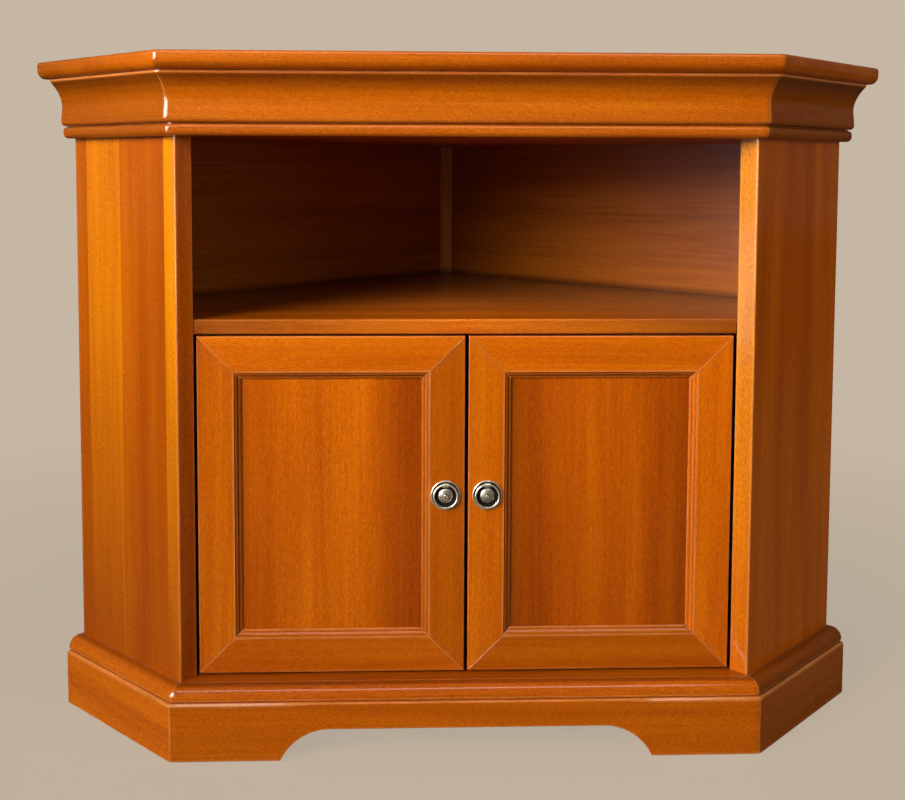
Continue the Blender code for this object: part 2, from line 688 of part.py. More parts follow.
def rosette_profile():
    """Turned face of the pull as (radius, height off the door), from the centre out and back."""
    dome_foot = ROSETTE_RECESS + DOME_STEP_HEIGHT
    step = DOME_RADIUS + DOME_STEP_WIDTH
    rim = (ROSETTE_RADIUS + ROSETTE_RECESS_RADIUS) / 2
    points = [(0, BUTTON_HEIGHT), (BUTTON_RADIUS - BUTTON_CHAMFER, BUTTON_HEIGHT)]
    points += [(BUTTON_RADIUS, BUTTON_HEIGHT - BUTTON_CHAMFER), (BUTTON_RADIUS, DOME_HEIGHT)]
    for i in range(1, 6):
        turn = math.pi / 2 * i / 5
        radius = BUTTON_RADIUS + (DOME_RADIUS - BUTTON_RADIUS) * math.sin(turn)
        points.append((radius, dome_foot + (DOME_HEIGHT - dome_foot) * math.cos(turn)))
    points += [(step, dome_foot), (step + DOME_STEP_SLOPE, ROSETTE_RECESS)]
    points += [(ROSETTE_RECESS_RADIUS, ROSETTE_RECESS), (rim, ROSETTE_RIM)]
    points += [(ROSETTE_RADIUS, ROSETTE_EDGE), (ROSETTE_RADIUS, JOINT)]
    bore = SCREW_RADIUS + JOINT
    return points + [(bore, JOINT), (bore, SCREW_IN_ROSETTE + JOINT), (0, SCREW_IN_ROSETTE + JOINT)]


def make_rosette(side, metal, place):
    """Turned plate with a bored lug, in which the ring swings."""
    name = side_name(side)
    x = side * PULL_X
    centre = at(x, DOOR_FRONT, PULL_HEIGHT)
    plate_piece = turned(f"{name}_pull_rosette", rosette_profile(), centre, (0, -1, 0), metal, 40, **place)
    bore_z = RING_HEIGHT + LUG_DROP
    section = [(-LUG_RADIUS, LUG_ROOT)]
    section += arc((0.0, RING_STANDOFF), LUG_RADIUS, 180, 0, 10)
    section += [(LUG_RADIUS, LUG_ROOT)]
    loops = []
    for end in (-LUG_HALF_WIDTH, LUG_HALF_WIDTH):
        loops.append([at(x + end, DOOR_FRONT - height, bore_z + z) for z, height in section])
    cut(plate_piece, loft(f"add_{name}_lug", loops, metal), "UNION")
    past = 2 * LUG_HALF_WIDTH
    ends = [at(x + end, DOOR_FRONT - RING_STANDOFF, bore_z) for end in (-past, past)]
    bore_hole(f"cut_{name}_lug", plate_piece, ends[0], ends[1], RING_WIRE + RUNNING_GAP, 16)


def make_ring(side, metal, door_axis):
    """Round wire bent to a ring, with a straight length through the lug. Its origin is the lug's bore."""
    steps, sides = 36, 10
    start = math.asin(RING_CHORD / RING_RADIUS)
    path = []
    for i in range(steps + 1):
        turn = start + (2 * math.pi - 2 * start) * i / steps
        path.append((RING_RADIUS * math.sin(turn), RING_RADIUS * math.cos(turn)))
    count = len(path)
    vertices, faces = [], []
    x0 = side * PULL_X
    for i, (x, z) in enumerate(path):
        before, after = Vector(path[i - 1]), Vector(path[(i + 1) % count])
        here = Vector((x, z))
        first, second = (here - before).normalized(), (after - here).normalized()
        tangent = (first + second).normalized()
        widen = 1 / tangent.dot(first)
        normal = Vector((tangent.y, -tangent.x))
        for k in range(sides):
            turn = 2 * math.pi * k / sides
            off = normal * RING_WIRE * math.cos(turn) * widen
            out = RING_WIRE * math.sin(turn)
            point = at(x0 + x + off.x, DOOR_FRONT - RING_STANDOFF + out, RING_HEIGHT + z + off.y)
            vertices.append(point)
            n, low, high = (k + 1) % sides, i * sides, ((i + 1) % count) * sides
            faces.append((low + k, low + n, high + n, high + k))
    bore = at(x0, DOOR_FRONT - RING_STANDOFF, RING_HEIGHT + LUG_DROP)
    add_piece(f"{side_name(side)}_pull_ring", vertices, faces, metal, origin=bore, parent=door_axis)


def make_screw(side, frame, steel, place):
    """Screw through the stile, from inside the door into the rosette."""
    name = side_name(side)
    x = side * PULL_X
    head_face = -DOOR_THICKNESS - JOINT
    head_top = head_face - SCREW_HEAD_HEIGHT
    profile = [(0, head_top), (SCREW_HEAD_RADIUS - SCREW_HEAD_CHAMFER, head_top)]
    profile += [(SCREW_HEAD_RADIUS, head_top + SCREW_HEAD_CHAMFER), (SCREW_HEAD_RADIUS, head_face)]
    profile += [(SCREW_RADIUS, head_face), (SCREW_RADIUS, SCREW_IN_ROSETTE), (0, SCREW_IN_ROSETTE)]
    centre = at(x, DOOR_FRONT, PULL_HEIGHT)
    turned(f"{name}_pull_screw", profile, centre, (0, -1, 0), steel, 20, **place)
    start = at(x, DOOR_FRONT - DOOR_GAP, PULL_HEIGHT)
    end = at(x, DOOR_BACK + DOOR_GAP, PULL_HEIGHT)
    bore_hole(f"cut_{name}_screw", frame["stile_inner"], start, end, SCREW_RADIUS + JOINT)


def make_door(side, boards, finishes):
    origin = at(side * AXIS_X, AXIS_DEPTH, DOOR_BOTTOM)
    axis = add_axis(f"{side_name(side)}_door_axis", origin)
    place = {"origin": origin, "parent": axis}
    frame = make_door_frame(side, finishes["cherry"], place)
    make_door_panel(side, finishes["cherry_panel"], place)
    make_pivots(side, frame, boards, finishes["steel"], finishes["brass"], place)
    make_catch(side, finishes["plastic"], finishes["steel"], place)
    make_screw(side, frame, finishes["steel"], place)
    make_rosette(side, finishes["antique_metal"], place)
    make_ring(side, finishes["antique_metal"], axis)


def make_shelf_pins(side, panel, metal):
    """Two pins in a side panel, each in one of a column of three holes.

    The facets of each hole start at their own angle, so that no corners of a column line up.
    """
    pin_z = INNER_SHELF_BOTTOM - JOINT - SHELF_PIN_RADIUS
    for part, run in (("front", SHELF_PIN_FRONT), ("rear", SIDE_DEPTH - SHELF_PIN_REAR)):
        name = f"{side_name(side)}_{part}"
        ends = []
        for q in (-PANEL_THICKNESS + SHELF_PIN_IN, -PANEL_THICKNESS - SHELF_PIN_OUT):
            x, depth = side_point(run, q)
            ends.append(at(side * x, depth, pin_z))
        rod(f"shelf_pin_{name}", ends[0], ends[1], SHELF_PIN_RADIUS, metal, 16)
        for step in (-1, 0, 1):
            hole = []
            for q in (-PANEL_THICKNESS + SHELF_PIN_IN + JOINT, -PANEL_THICKNESS - SHELF_PIN_OUT):
                x, depth = side_point(run, q)
                hole.append(at(side * x, depth, pin_z + step * PIN_HOLE_PITCH))
            radius, phase = SHELF_PIN_RADIUS + JOINT, HOLE_PHASE * step
            bore_hole(f"cut_pin_{name}_{step + 1}", panel, hole[1], hole[0], radius, 16, phase)


def make_corner_pin(post, metal):
    """Pin in the corner post, under the rear corner of the inner shelf."""
    pin_z = INNER_SHELF_BOTTOM - JOINT - SHELF_PIN_RADIUS
    inside, outside = POST_DEPTH + SHELF_PIN_IN, POST_DEPTH - SHELF_PIN_OUT
    rod("shelf_pin_corner", at(0, inside, pin_z), at(0, outside, pin_z), SHELF_PIN_RADIUS, metal, 16)
    mouth, deep = at(0, outside, pin_z), at(0, inside + JOINT, pin_z)
    bore_hole("cut_pin_corner", post, mouth, deep, SHELF_PIN_RADIUS + JOINT, 16)


def main():
    clear_scene()
    finishes = {
        "cherry": finish("cherry", (0.50, 0.16, 0.03), 0.3),
        "cherry_panel": finish("cherry_panel", (0.42, 0.12, 0.025), 0.3),
        "carcass": finish("carcass", (0.36, 0.11, 0.03), 0.4),
        "plain_wood": finish("plain_wood", (0.55, 0.38, 0.20), 0.7),
        "antique_metal": finish("antique_metal", (0.45, 0.40, 0.30), 0.3, 1.0),
        "brass": finish("brass", (0.60, 0.45, 0.20), 0.35, 1.0),
        "steel": finish("steel", (0.55, 0.55, 0.55), 0.35, 1.0),
        "plastic": finish("plastic", (0.20, 0.10, 0.05), 0.5),
    }
    cherry, carcass, plain = finishes["cherry"], finishes["carcass"], finishes["plain_wood"]
    make_top(cherry)
    mouldings("cornice", cove_profile(), cherry)
    mouldings("bead", bead_profile(), cherry)
    make_head(cherry, carcass)
    bottom = make_base(cherry, plain)
    panels = {side: make_side_panel(side, cherry) for side in (-1, 1)}
    for side in (-1, 1):
        make_back_panel(side, carcass)
    post = make_post(carcass)
    shelf = make_shelf("niche_shelf", INNER_DEPTH, JOINT, SHELF_BOTTOM, SHELF_TOP, cherry)
    inner_front = DOOR_BACK + INNER_SHELF_SETBACK
    make_shelf("inner_shelf", inner_front, SHELF_PLAY, INNER_SHELF_BOTTOM, INNER_SHELF_TOP, carcass)
    for side in (-1, 1):
        make_shelf_pins(side, panels[side], finishes["brass"])
        make_door(side, {"top": shelf, "bottom": bottom}, finishes)
    make_corner_pin(post, finishes["brass"])
    keep_flats_flat()


main()
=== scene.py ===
# %% [markdown]
# # A corner cabinet in lacquered cherry
#
# The cabinet stands in the corner of a room: a front, two sides that turn back at 45 degrees, and
# two thin backs along the walls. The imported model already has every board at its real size. This
# lesson gives it fine surfaces and finishes. It starts by loading that model as a fixed frame.

# %% Load the frame
import math

import bmesh
import bpy
import numpy as np
from mathutils import Matrix, Vector


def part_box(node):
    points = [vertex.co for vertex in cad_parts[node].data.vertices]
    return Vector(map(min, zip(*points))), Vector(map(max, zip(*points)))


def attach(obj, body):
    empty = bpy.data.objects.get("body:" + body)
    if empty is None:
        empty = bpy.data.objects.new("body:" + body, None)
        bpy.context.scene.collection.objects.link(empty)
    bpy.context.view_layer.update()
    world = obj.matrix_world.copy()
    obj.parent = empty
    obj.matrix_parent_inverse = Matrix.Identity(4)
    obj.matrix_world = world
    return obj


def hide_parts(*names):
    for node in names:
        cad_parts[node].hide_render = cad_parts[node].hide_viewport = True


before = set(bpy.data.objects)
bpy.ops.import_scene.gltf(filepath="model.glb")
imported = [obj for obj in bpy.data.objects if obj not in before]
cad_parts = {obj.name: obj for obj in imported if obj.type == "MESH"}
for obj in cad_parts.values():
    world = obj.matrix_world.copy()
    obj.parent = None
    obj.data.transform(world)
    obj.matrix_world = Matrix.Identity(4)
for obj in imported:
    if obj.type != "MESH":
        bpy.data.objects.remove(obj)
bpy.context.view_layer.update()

# %% [markdown]
# ## The plan of the cabinet
#
# Every moulding follows the same line: the outline of the carcass, seen from above. The bottom
# board has exactly that outline, so its box gives the three numbers that fix the plan. Offsets
# from the line are called q and are positive outwards. Places along a side are called run, from
# the front corner to the wall. Working with q and run keeps each section a flat drawing.

# %% Measure the plan
S = math.sqrt(0.5)
TURN = math.radians(45)
TAN_HALF = math.tan(TURN / 2)
JOINT = 0.0003  # between pieces that touch

board_low, board_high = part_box("bottom_board")
FRONT_Y = board_low.y
REAR_SUM = board_high.y - FRONT_Y
HALF_FRONT = 2 * board_high.x - REAR_SUM
SIDE_RUN = (board_high.x - HALF_FRONT) / S
print(f"half front {HALF_FRONT:.4f}, side {SIDE_RUN:.4f}, depth {REAR_SUM:.4f}")


def offset_of(node):
    """How far a moulding of the front stands out from the carcass line."""
    return FRONT_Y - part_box(node)[0].y


def heights_of(node):
    """Lowest and highest z of a node."""
    low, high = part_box(node)
    return low.z, high.z


def middle_of(node):
    """Centre of a node's box."""
    low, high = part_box(node)
    return (np.array(low) + np.array(high)) / 2


def front_point(x, q, z):
    """World points on the front, from arrays of x, offset and height."""
    x, q, z = np.broadcast_arrays(x, q, z)
    return np.stack([x, FRONT_Y - q, z], axis=-1)


def side_point(side, run, q, z):
    """World points on a side: run goes back at 45 degrees and q stands out square to it."""
    run, q, z = np.broadcast_arrays(run, q, z)
    return np.stack([side * (HALF_FRONT + (run + q) * S), FRONT_Y + (run - q) * S, z], axis=-1)


# %% [markdown]
# ## Sections
#
# Most pieces of furniture are a flat drawing carried along a line, as a moulding plane or a
# spindle moulder makes them. A section here is a closed ring of points. Two helpers finish a
# section that was drawn with sharp corners: one rounds the corners, because no hand-finished arris
# is sharp and the rounding is what catches the light, and one adds points along the flats, so that
# wear and the painted highlight on an edge do not smear over a whole face.

# %% Draw and refine sections
SHARP_TURN = 25  # degrees; a smaller turn belongs to a curve and stays
EASE_LIMIT = 0.42  # the most that a rounding takes from the shorter side next to it


def arc(centre, radii, start, end, steps):
    """Points on an ellipse: centre plus radii times cosine and sine, from start to end in degrees."""
    turn = np.radians(np.linspace(start, end, steps + 1))
    return np.array(centre) + np.array(radii) * np.stack([np.cos(turn), np.sin(turn)], axis=-1)


def ease(section, radius, steps=4):
    """Rounds the sharp corners of a closed section.

    Each becomes a quadratic curve, (1-t)^2 A + 2t(1-t) C + t^2 B, from a point A before the corner
    C to a point B after it.
    """
    section = np.asarray(section, float)
    back = np.roll(section, 1, axis=0) - section
    ahead = np.roll(section, -1, axis=0) - section
    back_length = np.linalg.norm(back, axis=1)[:, None]
    ahead_length = np.linalg.norm(ahead, axis=1)[:, None]
    cosine = -(back * ahead).sum(axis=1)[:, None] / (back_length * ahead_length)
    turn = np.arccos(np.clip(cosine, -1, 1))
    reach = np.minimum(radius * np.tan(turn / 2), EASE_LIMIT * np.minimum(back_length, ahead_length))
    first = section + back / back_length * reach
    last = section + ahead / ahead_length * reach
    t = np.linspace(0, 1, steps + 1)[None, :, None]
    curve = (1 - t) ** 2 * first[:, None] + 2 * t * (1 - t) * section[:, None] + t**2 * last[:, None]
    corner = turn[:, 0] > math.radians(SHARP_TURN)
    curve[~corner, 0] = section[~corner]
    keep = np.ones(curve.shape[:2], bool)
    keep[~corner, 1:] = False
    return curve[keep]


def refine(section, step=0.003):
    """Divides each side of a closed section into equal parts no longer than step."""
    section = np.asarray(section, float)
    ahead = np.roll(section, -1, axis=0) - section
    parts = np.maximum(1, np.ceil(np.linalg.norm(ahead, axis=1) / step)).astype(int)
    owner = np.repeat(np.arange(len(section)), parts)
    share = (np.arange(len(owner)) - np.repeat(np.cumsum(parts) - parts, parts)) / parts[owner]
    return section[owner] + ahead[owner] * share[:, None]


def between(start, end, step):
    """Numbers from start to end, evenly spaced by at most step."""
    return np.linspace(start, end, max(2, int(abs(end - start) / step) + 2))


# %% [markdown]
# ## From rings to a closed piece
#
# A piece is a stack of rings, one array of shape (rings, points, 3). Four-sided faces join each
# ring to the next, and one flat face closes each end. The arrays go into the mesh whole.
#
# Each piece also carries three attributes that the finishes read. `board` is the place inside the
# board, along the grain, across it and through it, so that grain follows each piece wherever it
# turns. `edge` is the bend of the surface, positive on an arris and negative in a corner. `tone`
# is how light this one board is: partly its own tone, as no two boards of a real cabinet match,
# and partly painted light and shade, lighter or darker by how the light falls on it.

# %% Make a mesh from rings
MERGE_DISTANCE = 1e-6


def solid(name, rings, closed=False):
    """A closed surface through rings[s, r]; closed joins the last ring to the first, as in a torus."""
    count, points, _ = rings.shape
    index = np.arange(count * points).reshape(count, points)
    ahead = np.roll(index, -1, axis=1)
    if closed:
        low, high = np.arange(count), np.roll(np.arange(count), -1)
    else:
        low, high = np.arange(count - 1), np.arange(1, count)
    quads = np.stack([index[low], ahead[low], ahead[high], index[high]], axis=-1).reshape(-1, 4)
    faces = quads.tolist()
    if not closed:
        faces += [index[0][::-1].tolist(), index[-1].tolist()]
    mesh = bpy.data.meshes.new(name)
    mesh.from_pydata(rings.reshape(-1, 3), [], faces)
    work = bmesh.new()
    work.from_mesh(mesh)
    bmesh.ops.remove_doubles(work, verts=work.verts, dist=MERGE_DISTANCE)
    bmesh.ops.recalc_face_normals(work, faces=work.faces)
    work.to_mesh(mesh)
    work.free()
    obj = bpy.data.objects.new(name, mesh)
    bpy.context.scene.collection.objects.link(obj)
    return obj


# %% Join shapes and drill holes
DRILL_LEAD = 0.004  # a drill starts this far outside the face
DRILL_SIDES = 32


def combine(obj, tool, operation):
    """Joins a tool to a piece or cuts it away, and deletes the tool."""
    modifier = obj.modifiers.new(operation, "BOOLEAN")
    modifier.operation = operation
    modifier.solver = "EXACT"
    modifier.object = tool
    result = obj.evaluated_get(bpy.context.evaluated_depsgraph_get())
    mesh = bpy.data.meshes.new_from_object(result)
    obj.modifiers.clear()
    obj.data = mesh
    bpy.data.objects.remove(tool, do_unlink=True)


def drill(obj, mouth, direction, depth, radius):
    """A round hole: circles of points about the axis, from just outside the face to the bottom."""
    direction = np.array(direction, float) / np.linalg.norm(direction)
    across = np.cross(direction, (0.3, 0.5, 0.8))
    across /= np.linalg.norm(across)
    third = np.cross(direction, across)
    turn = np.linspace(0, 2 * math.pi, DRILL_SIDES, endpoint=False)[:, None]
    circle = radius * (np.cos(turn) * across + np.sin(turn) * third)
    ends = np.array(mouth) + direction * np.array([[-DRILL_LEAD], [depth]])
    combine(obj, solid("drill", ends[:, None] + circle[None]), "DIFFERENCE")


# %% Measure the bend of a surface
def bend_of(mesh):
    """Signed bend at each point: how far the normal turns per millimetre, along the edges there."""
    places = np.empty(len(mesh.vertices) * 3)
    normals = np.empty(len(mesh.vertices) * 3)
    mesh.vertices.foreach_get("co", places)
    mesh.vertices.foreach_get("normal", normals)
    places, normals = places.reshape(-1, 3), normals.reshape(-1, 3)
    pairs = np.empty(len(mesh.edges) * 2, np.int32)
    mesh.edges.foreach_get("vertices", pairs)
    first, second = pairs.reshape(-1, 2).T
    along = places[first] - places[second]
    bend = ((normals[first] - normals[second]) * along).sum(axis=1) / (along**2).sum(axis=1)
    highest = np.zeros(len(places))
    lowest = np.zeros(len(places))
    for ends in (first, second):
        np.maximum.at(highest, ends, bend)
        np.minimum.at(lowest, ends, bend)
    return np.clip((highest + lowest) * 0.001, -1, 1), places


# %% Finish a piece: attributes, shading, body, slot and the nodes it stands for
SHARP_ANGLE = math.radians(34)  # faces that meet at more are shaded as an edge
GRAIN_SHIFT = np.array([1.37, 0.0, 0.41])  # from one piece to the next, along the grain and through the board

ALONG_X = ((1, 0, 0), (0, 0, 1), (0, -1, 0))
ALONG_Z = ((0, 0, 1), (1, 0, 0), (0, -1, 0))
LYING = ((1, 0, 0), (0, 1, 0), (0, 0, 1))
ALONG_SIDE = {side: ((side * S, S, 0), (0, 0, 1), (side * S, -S, 0)) for side in (-1, 1)}
UP_SIDE = {side: ((0, 0, 1), (side * S, S, 0), (side * S, -S, 0)) for side in (-1, 1)}
made = []


def put(mesh, name, kind, values):
    """Writes one attribute of the points."""
    field = "vector" if kind == "FLOAT_VECTOR" else "value"
    mesh.attributes.new(name, kind, "POINT").data.foreach_set(field, np.ravel(values))


def finish_piece(obj, body, material, nodes, axes=ALONG_X, origin=(0, 0, 0), tone=1.0, extra=None):
    """The place in the board is the distance from the origin along each of the three axes: along the
    grain, across the board and through it. It is shifted for each piece, so that no two boards have
    the same grain, but not across, where the staves are counted from the origin.
    """
    mesh = obj.data
    bend, places = bend_of(mesh)
    board = (places - np.array(origin)) @ np.array(axes, float).T + GRAIN_SHIFT * (len(made) + 1)
    put(mesh, "board", "FLOAT_VECTOR", board)
    put(mesh, "edge", "FLOAT", bend)
    put(mesh, "tone", "FLOAT", np.broadcast_to(tone(places) if callable(tone) else tone, len(places)))
    for name, values in (extra or {}).items():
        put(mesh, name, "FLOAT", values(places))
    mesh.materials.clear()
    mesh.materials.append(material)
    mesh.shade_smooth()
    mesh.set_sharp_from_angle(angle=SHARP_ANGLE)
    obj.modifiers.new("flat shading", "WEIGHTED_NORMAL").keep_sharp = True
    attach(obj, body)
    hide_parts(*nodes)
    made.append(obj)
    print(f"{obj.name}: {len(places)} points")


# %% [markdown]
# ## Shader helpers
#
# The finishes are node trees. Short helpers keep them readable: one adds a node and plugs in values
# or other nodes' outputs, one does arithmetic, one stretches a range, and the rest mix, darken and
# make noise.

# %% Build node trees
def plug(tree, node, inputs):
    """Gives a node its inputs; each is a plain value or another node's output."""
    for key, value in inputs.items():
        if isinstance(value, bpy.types.NodeSocket):
            tree.links.new(value, node.inputs[key])
        else:
            node.inputs[key].default_value = value
    return node


def add(tree, kind, inputs=None, **settings):
    """Adds a node with its settings and inputs."""
    node = tree.nodes.new(kind)
    for key, value in settings.items():
        setattr(node, key, value)
    return plug(tree, node, inputs or {})


def calc(tree, operation, *values):
    """One step of arithmetic."""
    return add(tree, "ShaderNodeMath", dict(enumerate(values)), operation=operation).outputs[0]


def stretch(tree, value, low, high, bottom=0.0, top=1.0):
    """Maps low to bottom and high to top, and keeps what lies outside at the ends."""
    names = ("Value", "From Min", "From Max", "To Min", "To Max")
    values = dict(zip(names, (value, low, high, bottom, top)))
    return add(tree, "ShaderNodeMapRange", values, clamp=True).outputs[0]


def mix(tree, factor, first, second):
    """Mixes two colours."""
    return add(tree, "ShaderNodeMix", {0: factor, 6: first, 7: second}, data_type="RGBA").outputs[2]


def shaded(tree, color, factor):
    """A colour times a number."""
    inputs = {0: color, "Scale": factor}
    return add(tree, "ShaderNodeVectorMath", inputs, operation="SCALE").outputs[0]


def noise(tree, vector, scale, detail=2.0):
    """Noise on a vector that is first scaled by three numbers, each in features per metre."""
    scaled = add(tree, "ShaderNodeVectorMath", {0: vector, 1: scale}, operation="MULTIPLY").outputs[0]
    return add(tree, "ShaderNodeTexNoise", {"Vector": scaled, "Scale": 1.0, "Detail": detail}).outputs[0]


def carried(tree, name):
    """One of the piece's own attributes: its vector and its number."""
    outputs = add(tree, "ShaderNodeAttribute", attribute_name=name).outputs
    return outputs["Vector"], outputs["Fac"]


# %% Node groups and new materials
def new_group(name, inputs, outputs):
    """An empty node group with named sockets, its input sockets and its output sockets."""
    tree = bpy.data.node_groups.new(name, "ShaderNodeTree")
    for direction, sockets in (("INPUT", inputs), ("OUTPUT", outputs)):
        for label, kind in sockets.items():
            tree.interface.new_socket(label, in_out=direction, socket_type="NodeSocket" + kind)
    return tree, tree.nodes.new("NodeGroupInput").outputs, tree.nodes.new("NodeGroupOutput").inputs


def use(tree, group, **inputs):
    """Places a group in a tree."""
    node = tree.nodes.new("ShaderNodeGroup")
    node.node_tree = group
    return plug(tree, node, inputs).outputs


def new_material(name):
    """An empty material, its tree and its shader."""
    material = bpy.data.materials.new(name)
    material.use_nodes = True
    return material, material.node_tree, material.node_tree.nodes["Principled BSDF"]


# %% [markdown]
# ## The figure of cherry
#
# Cherry is fine and even. Straight-sawn boards show broad bands where the tree grew faster, then
# narrow streaks. Over these lie short dashes of a few millimetres, lighter and darker than the
# ground, where the fibres dip in and out of the cut, and the dark flecks of the pores. All are one
# noise at different sizes, stretched along the grain. A slow noise bends them a little, because no
# trunk is straight. The group reads the place in the board in metres, so the scales are features
# per metre: along the grain, across it and through the board.

# %% Group: cherry figure
def make_figure():
    """Colour from dark through middle to pale by the sum of bands, streaks and dashes; flecks on top."""
    tree, given, result = new_group(
        "cherry figure",
        {"Board": "Vector", "Pale": "Color", "Middle": "Color", "Dark": "Color", "Bands": "Float",
         "Streaks": "Float", "Dashes": "Float", "Flecks": "Float"},
        {"Color": "Color", "Fleck": "Float", "Height": "Float"},
    )
    wander = calc(tree, "SUBTRACT", noise(tree, given["Board"], (2.2, 9, 9), 1.0), 0.5)
    bent = add(tree, "ShaderNodeCombineXYZ", {"Y": calc(tree, "MULTIPLY", wander, 0.016)}).outputs[0]
    place = add(tree, "ShaderNodeVectorMath", {0: given["Board"], 1: bent}, operation="ADD").outputs[0]
    band = calc(tree, "SUBTRACT", noise(tree, place, (1.9, 34, 34), 2.0), 0.5)
    streak = calc(tree, "SUBTRACT", noise(tree, place, (7, 260, 260), 3.0), 0.5)
    tone = calc(tree, "MULTIPLY_ADD", band, given["Bands"], 0.5)
    tone = calc(tree, "MULTIPLY_ADD", streak, given["Streaks"], tone)
    dash = calc(tree, "SUBTRACT", noise(tree, place, (230, 1400, 1400), 1.0), 0.5)
    tone = calc(tree, "MULTIPLY_ADD", dash, given["Dashes"], tone)
    color = mix(tree, stretch(tree, tone, 0.0, 0.5), given["Dark"], given["Middle"])
    color = mix(tree, stretch(tree, tone, 0.5, 1.0), color, given["Pale"])
    pore = noise(tree, place, (150, 1100, 1100), 1.0)
    patch = stretch(tree, noise(tree, place, (9, 40, 40), 1.0), 0.3, 0.7, 0.3, 1.0)
    fleck = calc(tree, "MULTIPLY", stretch(tree, pore, 0.56, 0.74), patch)
    shade = calc(tree, "MULTIPLY", fleck, given["Flecks"])
    height = calc(tree, "MULTIPLY_ADD", fleck, -1.0, calc(tree, "MULTIPLY", streak, 0.3))
    tree.links.new(mix(tree, shade, color, given["Dark"]), result["Color"])
    tree.links.new(fleck, result["Fleck"])
    tree.links.new(height, result["Height"])
    return tree


figure_group = make_figure()
print("cherry figure:", len(figure_group.nodes), "nodes")

# %% [markdown]
# ## Age and painted light on the edges, and the lacquer
#
# Stain and lacquer are sanded thin on an arris, so it shows paler, and the paler colour also paints
# the highlight that an arris catches. They gather in a quirk or at the foot of a moulding, which goes
# dark, and that dark also paints the shade that falls there. The `edge` attribute holds both. The
# lacquer itself is satin: its roughness changes slowly over a board, and a faint ripple breaks its
# reflections.

# %% Groups: edges and lacquer
def make_edges():
    """Mixes in the worn colour where the surface bends out, and the glaze where it bends in.

    Both also paint light: a highlight on the arris and shade in the hollow.
    """
    tree, given, result = new_group(
        "worn edges and painted light",
        {"Edge": "Float", "Board": "Vector", "Color": "Color", "Worn": "Color", "Glaze": "Color",
         "Wear": "Float", "Depth": "Float"},
        {"Color": "Color", "Wear": "Float"},
    )
    uneven = stretch(tree, noise(tree, given["Board"], (30, 60, 60), 2.0), 0.3, 0.7, 0.5, 1.0)
    wear_and_highlight = calc(tree, "MULTIPLY", stretch(tree, given["Edge"], 0.1, 0.9), uneven)
    wear_and_highlight = calc(tree, "MULTIPLY", wear_and_highlight, given["Wear"])
    dark = calc(tree, "MULTIPLY", stretch(tree, given["Edge"], -0.05, -0.6), given["Depth"])
    color = mix(tree, wear_and_highlight, given["Color"], given["Worn"])
    tree.links.new(mix(tree, dark, color, given["Glaze"]), result["Color"])
    tree.links.new(wear_and_highlight, result["Wear"])
    return tree


def make_lacquer():
    """Roughness that drifts over the board and rises on flecks and worn edges, and a faint ripple."""
    tree, given, result = new_group(
        "satin lacquer",
        {"Board": "Vector", "Roughness": "Float", "Fleck": "Float", "Wear": "Float"},
        {"Roughness": "Float", "Height": "Float"},
    )
    slow = calc(tree, "SUBTRACT", noise(tree, given["Board"], (6, 14, 14), 3.0), 0.5)
    rough = calc(tree, "MULTIPLY_ADD", slow, 0.16, given["Roughness"])
    rough = calc(tree, "MULTIPLY_ADD", given["Fleck"], 0.10, rough)
    rough = calc(tree, "MULTIPLY_ADD", given["Wear"], 0.06, rough)
    tree.links.new(rough, result["Roughness"])
    tree.links.new(noise(tree, given["Board"], (120, 160, 160), 2.0), result["Height"])
    return tree


edges_group = make_edges()
lacquer_group = make_lacquer()
print("edges and lacquer:", len(edges_group.nodes), "and", len(lacquer_group.nodes), "nodes")

# %% [markdown]
# ## Wood finishes
#
# One function makes every wood finish. What changes is the palette, the gloss and where the place
# in the board comes from. New pieces carry it as an attribute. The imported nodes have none, so for
# them the object's own coordinates are turned until X runs along the grain.
#
# Wide boards are glued up from staves of different trees. A ramp across the board gives each stave
# its tone, and its steps are hard on the sides and soft on the door panels, whose veneers match
# better. A ramp holds colours up to 1, so it holds half of each tone, and the product is doubled.

# %% Where the place in the board comes from
def own_board(tree):
    """The place in the board that a new piece carries."""
    return carried(tree, "board")[0]


def turned_board(*rotation):
    """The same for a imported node: object coordinates, turned so that X follows the grain."""
    def place(tree):
        coordinates = add(tree, "ShaderNodeTexCoord").outputs["Object"]
        turn = tuple(math.radians(angle) for angle in rotation)
        return add(tree, "ShaderNodeMapping", {"Vector": coordinates, "Rotation": turn}).outputs[0]
    return place


def own_place(tree):
    """X, Y and Z of the object's own coordinates."""
    coordinates = add(tree, "ShaderNodeTexCoord").outputs["Object"]
    return add(tree, "ShaderNodeSeparateXYZ", {0: coordinates}).outputs


# %% Staves
# Painted shade: the sides are painted darker towards the floor, where less light reaches.
LOW_SHADE_HEIGHTS = (0.06, 0.50)  # metres over the floor: full stain below, none above


def stave_tones(tree, across, staves, soft):
    """Half the tone of each stave, from widths and tones in order, starting where across is 0."""
    total = sum(width for width, _ in staves)
    ramp = add(tree, "ShaderNodeValToRGB", {0: calc(tree, "DIVIDE", across, total)})
    ramp.color_ramp.interpolation = "EASE" if soft else "CONSTANT"
    stops = ramp.color_ramp.elements
    start = 0.0
    for i, (width, (red, rest)) in enumerate(staves):
        stop = stops[0] if i == 0 else stops.new(start / total)
        stop.position = start / total
        stop.color = (red, rest, rest, 1)
        start += width
    stops.remove(stops[len(stops) - 1])
    return ramp.outputs[0]


def staved(tree, color, board, staves, low_shade):
    """The colour times the tone of each stave; towards the floor one painted shade takes their place."""
    across = add(tree, "ShaderNodeSeparateXYZ", {0: board}).outputs["Y"]
    tones = stave_tones(tree, across, staves, soft=low_shade is None)
    if low_shade:
        tones = mix(tree, stretch(tree, own_place(tree)["Z"], *LOW_SHADE_HEIGHTS), low_shade, tones)
    inputs = {0: color, 1: tones}
    halved = add(tree, "ShaderNodeVectorMath", inputs, operation="MULTIPLY").outputs[0]
    return shaded(tree, halved, 2.0)
